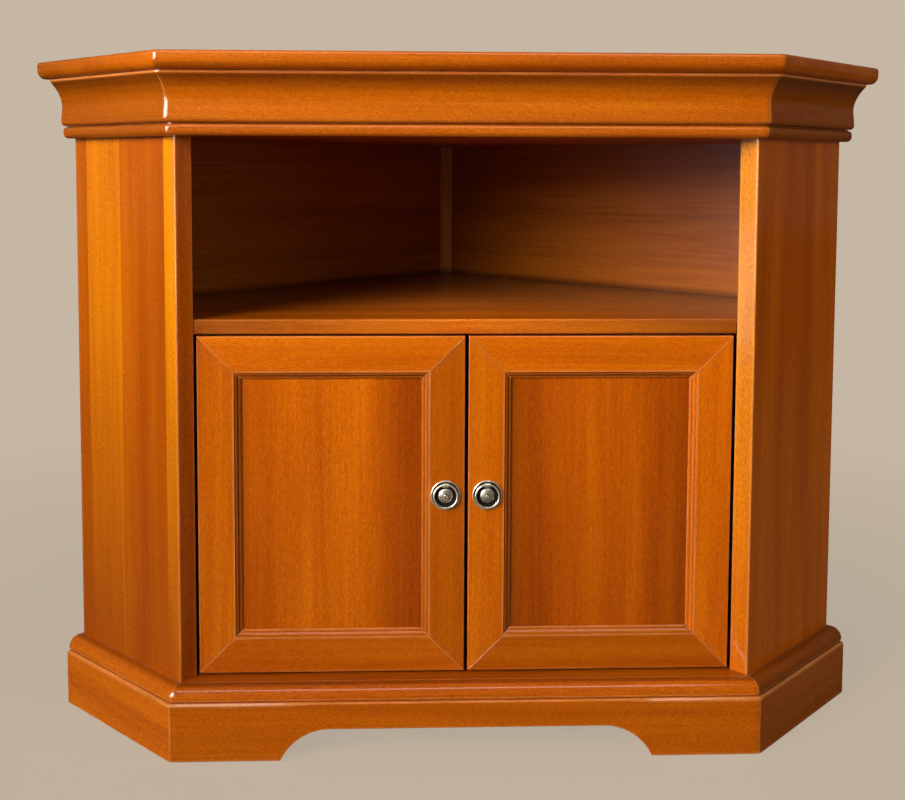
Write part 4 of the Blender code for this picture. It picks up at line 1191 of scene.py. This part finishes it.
# %% [markdown]
# No two members match, so each has its own tone, and that tone also paints light and shade: the
# top rails lighter and the bottom rails darker. Each panel is painted a little lighter towards the
# head, painted light. The moulded edge of the members above and left of each panel faces away from
# the light and is painted much darker than the flat, painted shade.

# %% Tones of the doors
# Each member's own tone with painted light and shade on it: top rails lighter, bottom rails darker. The
# panels are painted lighter towards the head, painted light.
DOOR_TONES_AND_LIGHT = {-1: (1.0, 0.86, 1.14, 0.92), 1: (1.22, 1.06, 1.18, 0.80)}  # in the order of members_of
PANEL_PAINTED_LIGHT = {-1: (0.96, 1.04), 1: (0.91, 1.07)}  # at the foot and at the head
# The members whose moulded edge faces away from the light and gets a painted shade.
SHADED_MEMBERS = {-1: ("stile_outer", "rail_top"), 1: ("stile_inner", "rail_top")}
STICKING_SHADE = {"dark": 0.60, "light": 0.95}


def member_tone_and_shade(level, start, inwards, look):
    """The tone of a member, times a painted shade on the moulded inner edge."""
    def tone(places):
        across = (places[:, 0] - start[0]) * inwards[0] + (places[:, 2] - start[1]) * inwards[1]
        moulded = across > FRAME_WIDTH - STICKING_WIDTH + 0.0001
        return level * np.where(moulded, STICKING_SHADE[look], 1.0)
    return tone


# %% [markdown]
# The doors turn on pins in the carcass, so each rail has a hole for a bush. The screw that holds
# the pull goes right through the inner stile.

# %% Make the two doors
BUSH_HOLE_RADIUS = 0.0048
BUSH_HOLE_DEPTH = 0.0083
SCREW_HOLE_RADIUS = 0.0023
PANEL_ROUND = 0.0006


def make_member(side, part, shape, level):
    """One member of a door, with its holes."""
    start, end, inwards, axes = shape
    word = WORDS[side]
    node = f"{word}_door_{part}"
    low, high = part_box(f"{word}_door_stile_outer")
    thickness = high.y - low.y
    member = solid(f"{word}_{part}", member_rings(start, end, inwards, low.y, thickness))
    if part.startswith("rail"):
        x, y, _ = middle_of(node.replace("rail", "bush"))
        drill(member, (x, y, start[1]), (0, 0, inwards[1]), BUSH_HOLE_DEPTH, BUSH_HOLE_RADIUS)
    if part == "stile_inner":
        x, _, z = middle_of(f"{word}_pull_screw")
        drill(member, (x, low.y, z), (0, 1, 0), thickness + DRILL_LEAD, SCREW_HOLE_RADIUS)
    # The dark finish carries the painted shade of the moulded edge; the light one is the lit copy.
    look = "dark" if part in SHADED_MEMBERS[side] else "light"
    tone = member_tone_and_shade(level, start, inwards, look)
    finish_piece(member, f"{word}_door", cherry_doors[look], [node], axes, tone=tone)


def make_panel(side):
    """The panel of a door; its staves are counted from its left edge."""
    word = WORDS[side]
    node = f"{word}_door_panel"
    low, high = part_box(node)
    panel = solid(f"{word}_panel", rounded_box(low, high, PANEL_ROUND))
    finish_piece(panel, f"{word}_door", cherry_panels[side], [node], ALONG_Z, (low.x, 0, 0),
                 tone=lambda places: np.interp(places[:, 2], (low.z, high.z), PANEL_PAINTED_LIGHT[side]))


for side in WORDS:
    for level, (part, shape) in zip(DOOR_TONES_AND_LIGHT[side], members_of(side).items()):
        make_member(side, part, shape, level)
    make_panel(side)

# %% [markdown]
# ## The pulls
#
# Each pull is a turned rosette with a ring hung in a small lug. The rosette's face is a height for
# each radius: a dome with a button, a fine raised circle in a dark recess, and a round rim. Adding
# simple bumps to a stepped line gives the whole turned profile as one array.

# %% Draw the rosette
ROSETTE_RADIUS = 0.0176
RECESS_RADIUS = 0.0155
RECESS_HEIGHT = 0.0014
RIM_HEIGHT = 0.0025
RIM_EDGE = 0.0013
DOME_RADIUS = 0.0086
DOME_FOOT = 0.0022
DOME_HEIGHT = 0.0056
COLLAR_RADIUS = 0.0096  # of the flat round the dome
COLLAR_FOOT = 0.0100
BUTTON_RADIUS = 0.0031
BUTTON_HEIGHT = 0.0066
CIRCLE_RADIUS = 0.0117
ROSETTE_HOLE_DEPTH = 0.0043


def bump(radius, centre, width):
    """A smooth hill of height 1: the square of 1 - (distance / width)^2."""
    return np.maximum(0, 1 - ((radius - centre) / width) ** 2) ** 2


def rosette_face(radius):
    """Height of the turned face off the door at each radius."""
    across = np.clip(radius / DOME_RADIUS, 0, 1)
    dome = DOME_FOOT + (DOME_HEIGHT - DOME_FOOT) * np.sqrt(1 - across**2)
    button = BUTTON_HEIGHT - 0.0005 * (radius / BUTTON_RADIUS) ** 4
    button = button - 0.0005 * bump(radius, 0, 0.0009) - 0.0002 * bump(radius, 0.0019, 0.0004)
    foot = np.interp(radius, [DOME_RADIUS, COLLAR_RADIUS, COLLAR_FOOT], [DOME_FOOT, DOME_FOOT, RECESS_HEIGHT])
    rim_share = np.clip((radius - RECESS_RADIUS) / (ROSETTE_RADIUS - RECESS_RADIUS), 0, 1)
    rim_base = RECESS_HEIGHT + (RIM_EDGE - RECESS_HEIGHT) * rim_share
    rim = rim_base + (RIM_HEIGHT - RECESS_HEIGHT) * np.sin(math.pi * rim_share) ** 0.8
    face = np.where(radius < BUTTON_RADIUS, button, np.where(radius < DOME_RADIUS, dome, foot))
    face = np.where(radius > RECESS_RADIUS, rim, face)
    return face + 0.00030 * bump(radius, CIRCLE_RADIUS, 0.0004)


def rosette_outline():
    """The turned face from the centre out, then the rim's edge, the back and the screw hole."""
    steps = [BUTTON_RADIUS - 1e-5, BUTTON_RADIUS + 1e-5, COLLAR_RADIUS, COLLAR_FOOT, RECESS_RADIUS]
    radius = np.unique(np.concatenate([np.linspace(0.00002, ROSETTE_RADIUS, 110), steps]))
    hole = SCREW_HOLE_RADIUS
    back_radius = np.array([ROSETTE_RADIUS, ROSETTE_RADIUS - 0.0002, hole, hole, 0.00002])
    back_height = np.array([0.0005, JOINT, JOINT, ROSETTE_HOLE_DEPTH, ROSETTE_HOLE_DEPTH])
    return np.concatenate([radius, back_radius]), np.concatenate([rosette_face(radius), back_height])


def turned_rings(radii, heights, x, face_y, z, segments=96):
    """Circles about an axis that points to the front; the first and last are tiny and get closed."""
    turn = np.linspace(0, 2 * math.pi, segments, endpoint=False)
    radii, heights = radii[:, None], heights[:, None]
    return np.stack([x + radii * np.cos(turn), np.broadcast_to(face_y - heights, (len(radii), segments)),
                     z + radii * np.sin(turn)], axis=-1)


# %% [markdown]
# The lug is a small half-round block at the top of the rosette, drawn in at both ends, with a bore
# for the ring. The ring is round wire. Its path is a circle whose top is cut flat, where it runs
# straight through the lug. The wire's section is a circle that turns with the path.

# %% Draw the lug and bend the ring
LUG_HALF_WIDTH = 0.0035
LUG_RADIUS = 0.0024
LUG_ROOT = 0.0007
LUG_STATIONS = [(-1.0, 0.88), (-0.96, 0.96), (-0.86, 1.0), (0.86, 1.0), (0.96, 0.96), (1.0, 0.88)]
RING_RADIUS = 0.0137
RING_WIRE = 0.0012
RING_STANDOFF = 0.0034
RING_SOFTNESS = 0.0002  # of the two bends where the circle becomes straight


def lug_rings(x, bore_z, face_y):
    """The half-round section at each station: share of the half width, and scale about the bore."""
    spread, scale = np.array(LUG_STATIONS).T[:, :, None]
    arch = arc((0.0, RING_STANDOFF), (LUG_RADIUS,) * 2, 180, 0, 24)
    rise, height = np.concatenate([[(-LUG_RADIUS, LUG_ROOT)], arch, [(LUG_RADIUS, LUG_ROOT)]]).T
    depth = face_y - RING_STANDOFF - (height - RING_STANDOFF) * scale
    across = np.broadcast_to(x + spread * LUG_HALF_WIDTH, depth.shape)
    return np.stack([across, depth, bore_z + rise * scale], axis=-1)


def ring_rings(x, centre_z, bore_z, face_y, steps=120, sides=20):
    """A tube about the path (R sin t, R cos t), whose height is held down to the lug's bore.

    With d for the bore's height over the centre and s for the softness, the height h becomes
    (h + d - sqrt((h - d)^2 + s^2)) / 2, the lower of the two with a soft bend between them.
    """
    turn = np.linspace(0, 2 * math.pi, steps, endpoint=False)
    drop = bore_z - centre_z
    height = RING_RADIUS * np.cos(turn)
    height = 0.5 * (height + drop - np.sqrt((height - drop) ** 2 + RING_SOFTNESS**2))
    path = np.column_stack([RING_RADIUS * np.sin(turn), height])
    tangent = np.roll(path, -1, axis=0) - np.roll(path, 1, axis=0)
    tangent /= np.linalg.norm(tangent, axis=1)[:, None]
    normal = np.column_stack([tangent[:, 1], -tangent[:, 0]])
    round_wire = np.linspace(0, 2 * math.pi, sides, endpoint=False)
    flat = path[:, None] + RING_WIRE * np.cos(round_wire)[None, :, None] * normal[:, None]
    out = np.broadcast_to(RING_WIRE * np.sin(round_wire), flat.shape[:2])
    return np.stack([x + flat[..., 0], face_y - RING_STANDOFF + out, centre_z + flat[..., 1]], axis=-1)


# %% [markdown]
# ## Metals
#
# The pulls are an old silver finish: bright and creamy where fingers and cloths reach, nearly black
# in the recess. A `patina` attribute marks the recess from the radius, and noise breaks its edge.
# The same group serves the brass and steel parts inside, with little patina.

# %% Group: patina
def make_patina():
    """Bright and dull in blotches, black and rough where the mask or the bend of the surface asks."""
    tree, given, result = new_group(
        "patina",
        {"Place": "Vector", "Mask": "Float", "Edge": "Float", "Bright": "Color", "Dull": "Color",
         "Black": "Color", "Roughness": "Float"},
        {"Color": "Color", "Roughness": "Float", "Height": "Float"},
    )
    blotch = noise(tree, given["Place"], (420, 420, 420), 3.0)
    fine = noise(tree, given["Place"], (2600, 2600, 2600), 2.0)
    color = mix(tree, stretch(tree, blotch, 0.35, 0.7), given["Bright"], given["Dull"])
    hollow = stretch(tree, given["Edge"], -0.1, -0.8)
    uneven = calc(tree, "MULTIPLY_ADD", calc(tree, "SUBTRACT", blotch, 0.5), 0.5, given["Mask"])
    mask = calc(tree, "MAXIMUM", stretch(tree, uneven, 0.25, 0.75), hollow)
    tree.links.new(mix(tree, mask, color, given["Black"]), result["Color"])
    rough = calc(tree, "MULTIPLY_ADD", mask, 0.30, given["Roughness"])
    rough = calc(tree, "MULTIPLY_ADD", calc(tree, "SUBTRACT", fine, 0.5), 0.25, rough)
    tree.links.new(rough, result["Roughness"])
    tree.links.new(calc(tree, "ADD", fine, blotch), result["Height"])
    return tree


patina_group = make_patina()
print("patina:", len(patina_group.nodes), "nodes")

# %% The metals
METAL_RELIEF = 0.00003
LITTLE_PATINA = 0.15


def metal(name, bright, dull, black, roughness, metallic=1.0, aged=False):
    """A metal finish; an aged piece carries its own patina."""
    material, tree, shader = new_material(name)
    if aged:
        place, mask, edge = carried(tree, "board")[0], carried(tree, "patina")[1], carried(tree, "edge")[1]
    else:
        place, mask, edge = add(tree, "ShaderNodeTexCoord").outputs["Object"], LITTLE_PATINA, 0.0
    patina = use(tree, patina_group, Place=place, Mask=mask, Edge=edge, Bright=bright, Dull=dull, Black=black,
                 Roughness=roughness)
    bumps = add(tree, "ShaderNodeBump", {"Height": patina["Height"], "Distance": METAL_RELIEF})
    tree.links.new(patina["Color"], shader.inputs["Base Color"])
    tree.links.new(patina["Roughness"], shader.inputs["Roughness"])
    tree.links.new(bumps.outputs[0], shader.inputs["Normal"])
    shader.inputs["Metallic"].default_value = metallic
    return material


old_silver = metal("old_silver", (0.88, 0.80, 0.61, 1), (0.54, 0.47, 0.34, 1), (0.012, 0.009, 0.007, 1), 0.27,
                   metallic=0.72, aged=True)
brass = metal("brass", (0.72, 0.52, 0.22, 1), (0.52, 0.36, 0.14, 1), (0.10, 0.06, 0.03, 1), 0.32)
black_steel = metal("black_steel", (0.020, 0.018, 0.016, 1), (0.012, 0.011, 0.010, 1),
                    (0.006, 0.006, 0.006, 1), 0.6)
steel = metal("steel", (0.62, 0.62, 0.62, 1), (0.46, 0.46, 0.47, 1), (0.10, 0.10, 0.10, 1), 0.34)

# %% [markdown]
# On each rosette the recess is black, the dome is half dark with black lines on it, and the rim and
# the lug are bright, because they are what a cloth can reach.

# %% Make the two pulls
RECESS_EDGES = [0.0081, 0.0086, 0.0159, 0.0163]  # radii where the black starts, is full, fades, ends
RECESS_TOP = 0.0032  # what stands out further from the door is the lug
DOME_PATINA = 0.42
LINE_PATINA = 0.50
DOME_LINES = [(BUTTON_RADIUS, 0.0005), (0.0012, 0.0004), (0.0062, 0.0004)]  # radius and half width
BORE_START = 0.004  # beside the middle of the lug
BORE_LENGTH = 0.012


def rosette_patina(x, z, face_y):
    """The patina at each place of a rosette, by the distance from its axis."""
    def patina(places):
        radius = np.hypot(places[:, 0] - x, places[:, 2] - z)
        recess = np.interp(radius, RECESS_EDGES, [0, 1, 1, 0]) * (places[:, 1] > face_y - RECESS_TOP)
        lines = sum(bump(radius, *line) for line in DOME_LINES)
        return np.maximum(recess, (DOME_PATINA + LINE_PATINA * lines) * (radius < DOME_RADIUS))
    return patina


for word in WORDS.values():
    x, _, z = middle_of(f"{word}_pull_rosette")
    face_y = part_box(f"{word}_door_stile_inner")[0].y
    ring_low, ring_high = heights_of(f"{word}_pull_ring")
    centre_z = ring_low + RING_WIRE + RING_RADIUS
    bore_z = ring_high - RING_WIRE
    rosette = solid(f"{word}_rosette", turned_rings(*rosette_outline(), x, face_y, z))
    combine(rosette, solid("lug", lug_rings(x, bore_z, face_y)), "UNION")
    mouth = (x - BORE_START, face_y - RING_STANDOFF, bore_z)
    drill(rosette, mouth, (1, 0, 0), BORE_LENGTH, RING_WIRE + JOINT)
    finish_piece(rosette, f"{word}_door", old_silver, [f"{word}_pull_rosette"],
                 extra={"patina": rosette_patina(x, z, face_y)})
    ring = solid(f"{word}_ring", ring_rings(x, centre_z, bore_z, face_y), closed=True)
    finish_piece(ring, f"{word}_ring", old_silver, [f"{word}_pull_ring"],
                 extra={"patina": lambda places: np.zeros(len(places))})

# %% [markdown]
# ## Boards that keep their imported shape
#
# The backs, the corner post, the ceiling, the inner shelf and the bottom are flat boards, and the
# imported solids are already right. They only need their finish. Their grain is set by turning the
# object's coordinates: along a wall for the backs, upright for the post. The niche is duller than
# the outside, because it was finished with less polish.

# %% Finishes inside the cabinet
INSIDE = ((0.46, 0.130, 0.006, 1), (0.36, 0.088, 0.004, 1), (0.20, 0.040, 0.002, 1))
SHADED = ((0.47, 0.138, 0.007, 1), (0.36, 0.094, 0.005, 1), (0.20, 0.041, 0.002, 1))
LIGHTER = ((0.80, 0.300, 0.020, 1), (0.64, 0.220, 0.014, 1), (0.38, 0.100, 0.006, 1))
# A darker palette: painted shade on the bottom board and the top rail inside the cupboard.
SHADED_BOTTOM = ((0.50, 0.125, 0.0014, 1), (0.37, 0.072, 0.0005, 1), (0.20, 0.031, 0.0003, 1))
RAW = ((0.72, 0.50, 0.28, 1), (0.58, 0.37, 0.18, 1), (0.40, 0.23, 0.10, 1))


def inside_wood(name, *rotation, palette=INSIDE, coat=0.22):
    """A duller finish, with a painted shade along the seam with the niche shelf."""
    return wood(name, turned_board(*rotation), palette, streaks=0.9, dashes=0.5, flecks=0.3, roughness=0.42,
                coat=coat, coat_roughness=0.25, seam=heights_of("niche_shelf")[1])


def make_plastic():
    """Moulded brown plastic with a fine sparked grain."""
    material, tree, shader = new_material("brown_plastic")
    place = add(tree, "ShaderNodeTexCoord").outputs["Object"]
    grain = noise(tree, place, (1800, 1800, 1800), 2.0)
    color = mix(tree, grain, (0.060, 0.024, 0.012, 1), (0.110, 0.046, 0.022, 1))
    bumps = add(tree, "ShaderNodeBump", {"Height": grain, "Distance": 0.00004})
    tree.links.new(color, shader.inputs["Base Color"])
    tree.links.new(stretch(tree, grain, 0.3, 0.7, 0.42, 0.58), shader.inputs["Roughness"])
    tree.links.new(bumps.outputs[0], shader.inputs["Normal"])
    return material


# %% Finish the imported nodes
ENDS = ("top", "bottom")
packed = {
    inside_wood("carcass_right_back", 0, 0, 45, coat=0.38): ["back_panel_right"],
    inside_wood("carcass_left_back", 0, 0, -45, palette=SHADED): ["back_panel_left"],
    inside_wood("carcass_upright", 0, 90, 0, palette=LIGHTER): ["corner_post"],
    inside_wood("carcass_level", 0, 0, 0): ["niche_ceiling", "inner_shelf"],
    wood("cherry_floor_shaded", turned_board(0, 0, 0), SHADED_BOTTOM): ["bottom_board", "top_rail"],
    wood("raw_wood", turned_board(0, 0, 0), RAW, coat=0.0, roughness=0.7, relief=0.0002): [
        "plinth_cleat_front", "plinth_cleat_left", "plinth_cleat_right", "rear_foot"],
    brass: ["shelf_pin_left_front", "shelf_pin_left_rear", "shelf_pin_right_front",
            "shelf_pin_right_rear", "shelf_pin_corner"],
    black_steel: [f"{word}_door_{part}_{end}" for word in WORDS.values() for part in ("pin", "bush")
                  for end in ENDS],
    steel: ["left_pull_screw", "right_pull_screw", "left_door_strike", "right_door_strike"],
    make_plastic(): ["left_catch", "right_catch"],
}
for material, nodes in packed.items():
    for node in nodes:
        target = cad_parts[node].data
        target.materials.clear()
        target.materials.append(material)
print("packed nodes finished:", sum(len(nodes) for nodes in packed.values()))

# %% [markdown]
# ## Floor, light and camera
#
# The cabinet stands on a plain pale floor. The floor and the world show the camera one beige. Near
# the cabinet, the floor lets part of the real shading through, which keeps the shadow. The rest of
# the light sees a darker floor, as a real room would throw less of it back.

# %% Floor
BEIGE = (0.565, 0.4735, 0.3715, 1)
BOUNCE = (0.200, 0.155, 0.110, 1)
FLOOR_REACH = 12.0
FLOOR_DROP = 0.0004  # under the plinth, so that the two faces do not fight
PLAIN_FROM, PLAIN_ALL = 0.5, 1.6  # metres from the middle, between which the shading fades out


def make_floor():
    """One square, staged, with a material that mixes plain beige and real shading."""
    corners = [(x * FLOOR_REACH, y * FLOOR_REACH, 0) for x, y in ((-1, -1), (1, -1), (1, 1), (-1, 1))]
    mesh = bpy.data.meshes.new("floor")
    mesh.from_pydata(corners, [], [(0, 1, 2, 3)])
    floor = bpy.data.objects.new("floor", mesh)
    bpy.context.scene.collection.objects.link(floor)
    floor.location.z = -FLOOR_DROP
    material, tree, shader = new_material("floor")
    tree.nodes.remove(shader)
    camera_ray = add(tree, "ShaderNodeLightPath").outputs["Is Camera Ray"]
    lit = add(tree, "ShaderNodeBsdfDiffuse", {"Color": mix(tree, camera_ray, BOUNCE, BEIGE)}).outputs[0]
    plain = add(tree, "ShaderNodeEmission", {"Color": BEIGE, "Strength": 1.0}).outputs[0]
    place = add(tree, "ShaderNodeTexCoord").outputs["Object"]
    distance = add(tree, "ShaderNodeVectorMath", {0: place}, operation="LENGTH").outputs["Value"]
    plainness = stretch(tree, distance, PLAIN_FROM, PLAIN_ALL, 0.80, 1.0)
    factor = calc(tree, "MULTIPLY", plainness, camera_ray)
    shown = add(tree, "ShaderNodeMixShader", {0: factor, 1: lit, 2: plain}).outputs[0]
    tree.links.new(shown, tree.nodes["Material Output"].inputs["Surface"])
    mesh.materials.append(material)


make_floor()

# %% World
AMBIENT = 0.09


def make_world():
    """Beige for the camera, and a weak warm light for everything else."""
    world = bpy.data.worlds.new("studio")
    world.use_nodes = True
    tree = world.node_tree
    tree.nodes.clear()
    camera_ray = add(tree, "ShaderNodeLightPath").outputs["Is Camera Ray"]
    soft = add(tree, "ShaderNodeBackground", {"Color": (1.0, 0.96, 0.92, 1), "Strength": AMBIENT}).outputs[0]
    shown = add(tree, "ShaderNodeBackground", {"Color": BEIGE, "Strength": 1.0}).outputs[0]
    mixed = add(tree, "ShaderNodeMixShader", {0: camera_ray, 1: soft, 2: shown}).outputs[0]
    tree.links.new(mixed, add(tree, "ShaderNodeOutputWorld").inputs["Surface"])
    bpy.context.scene.world = world


make_world()

# %% [markdown]
# The bright left facets ask for a large soft key lamp high on the left. The white streak on the
# left corners and the bright upper faces are mirror images, so a tall strip on the left and a bar
# overhead light only the reflections and leave the plain shading alone. A low window on the left
# brightens the base. A fill on the right and a weak front lamp lift the shadows, and both are kept
# out of the reflections, where they would show as spots.

# %% Lamps
def add_lamp(name, place, target, size, power, color=(1, 1, 1), spread=180, diffuse=True, glossy=True):
    """A soft lamp of a width and a height that looks at a point."""
    data = bpy.data.lights.new(name, "AREA")
    data.shape = "RECTANGLE"
    data.size, data.size_y = size
    data.energy = power
    data.color = color
    data.spread = math.radians(spread)
    lamp = bpy.data.objects.new(name, data)
    bpy.context.scene.collection.objects.link(lamp)
    lamp.location = place
    lamp.rotation_euler = (Vector(target) - Vector(place)).to_track_quat("-Z", "Y").to_euler()
    lamp.visible_diffuse = diffuse
    lamp.visible_glossy = glossy


add_lamp("key", (-1.90, -2.10, 1.65), (0.15, -0.10, 0.95), (1.5, 1.5), 23.5, (1.0, 0.98, 0.92), spread=70)
add_lamp("strip", (-2.1, -1.75, 1.25), (0.0, -0.30, 0.65), (0.9, 2.1), 150, diffuse=False)
add_lamp("bar", (0.0, -1.3, 2.3), (0.0, -0.30, 0.30), (1.8, 0.5), 17, diffuse=False)
add_lamp("window", (-2.6, -1.0, 0.25), (0.0, -0.20, 0.30), (0.8, 0.45), 2.8, (0.92, 0.96, 1.0))
add_lamp("fill", (2.5, -1.3, 1.1), (0.2, -0.2, 0.45), (1.4, 1.4), 15, (1.0, 0.96, 0.92), glossy=False)
add_lamp("front", (0.4, -2.9, 1.0), (0.0, 0.0, 0.60), (1.2, 1.2), 2.5, (1.0, 0.97, 0.93), glossy=False)
print("lamps:", len(bpy.data.lights))

# %% [markdown]
# ## The camera
#
# The photograph was taken from just left of the middle, a little below the top of the cabinet,
# looking slightly down. The camera's axes are built from a small turn to the right, the downward
# tilt and a slight roll, and a vertical shift frames the whole cabinet.

# %% Make the camera
CAMERA_PLACE = (-0.0813, -1.6180, 0.6749)
CAMERA_YAW = 0.0364
CAMERA_PITCH = 0.0690
CAMERA_ROLL = 0.0037
CAMERA_LENS = 46.71
CAMERA_SHIFT = (0.0145, -0.1671)

camera_data = bpy.data.cameras.new("camera")
camera_data.lens = CAMERA_LENS
camera_data.shift_x, camera_data.shift_y = CAMERA_SHIFT
camera = bpy.data.objects.new("camera", camera_data)
bpy.context.scene.collection.objects.link(camera)
level = Vector((math.cos(CAMERA_YAW), -math.sin(CAMERA_YAW), 0))
level_ahead = Vector((math.sin(CAMERA_YAW), math.cos(CAMERA_YAW), 0))
ahead = math.cos(CAMERA_PITCH) * level_ahead - math.sin(CAMERA_PITCH) * Vector((0, 0, 1))
above = level.cross(ahead)
right = math.cos(CAMERA_ROLL) * level + math.sin(CAMERA_ROLL) * above
up = math.cos(CAMERA_ROLL) * above - math.sin(CAMERA_ROLL) * level
turned_axes = Matrix((right, up, -ahead)).transposed()
camera.matrix_world = Matrix.Translation(CAMERA_PLACE) @ turned_axes.to_4x4()
bpy.context.scene.camera = camera
bpy.context.scene.view_settings.view_transform = "Standard"
print("camera at", CAMERA_PLACE)

# %% Finish
print("pieces made:", len(made))
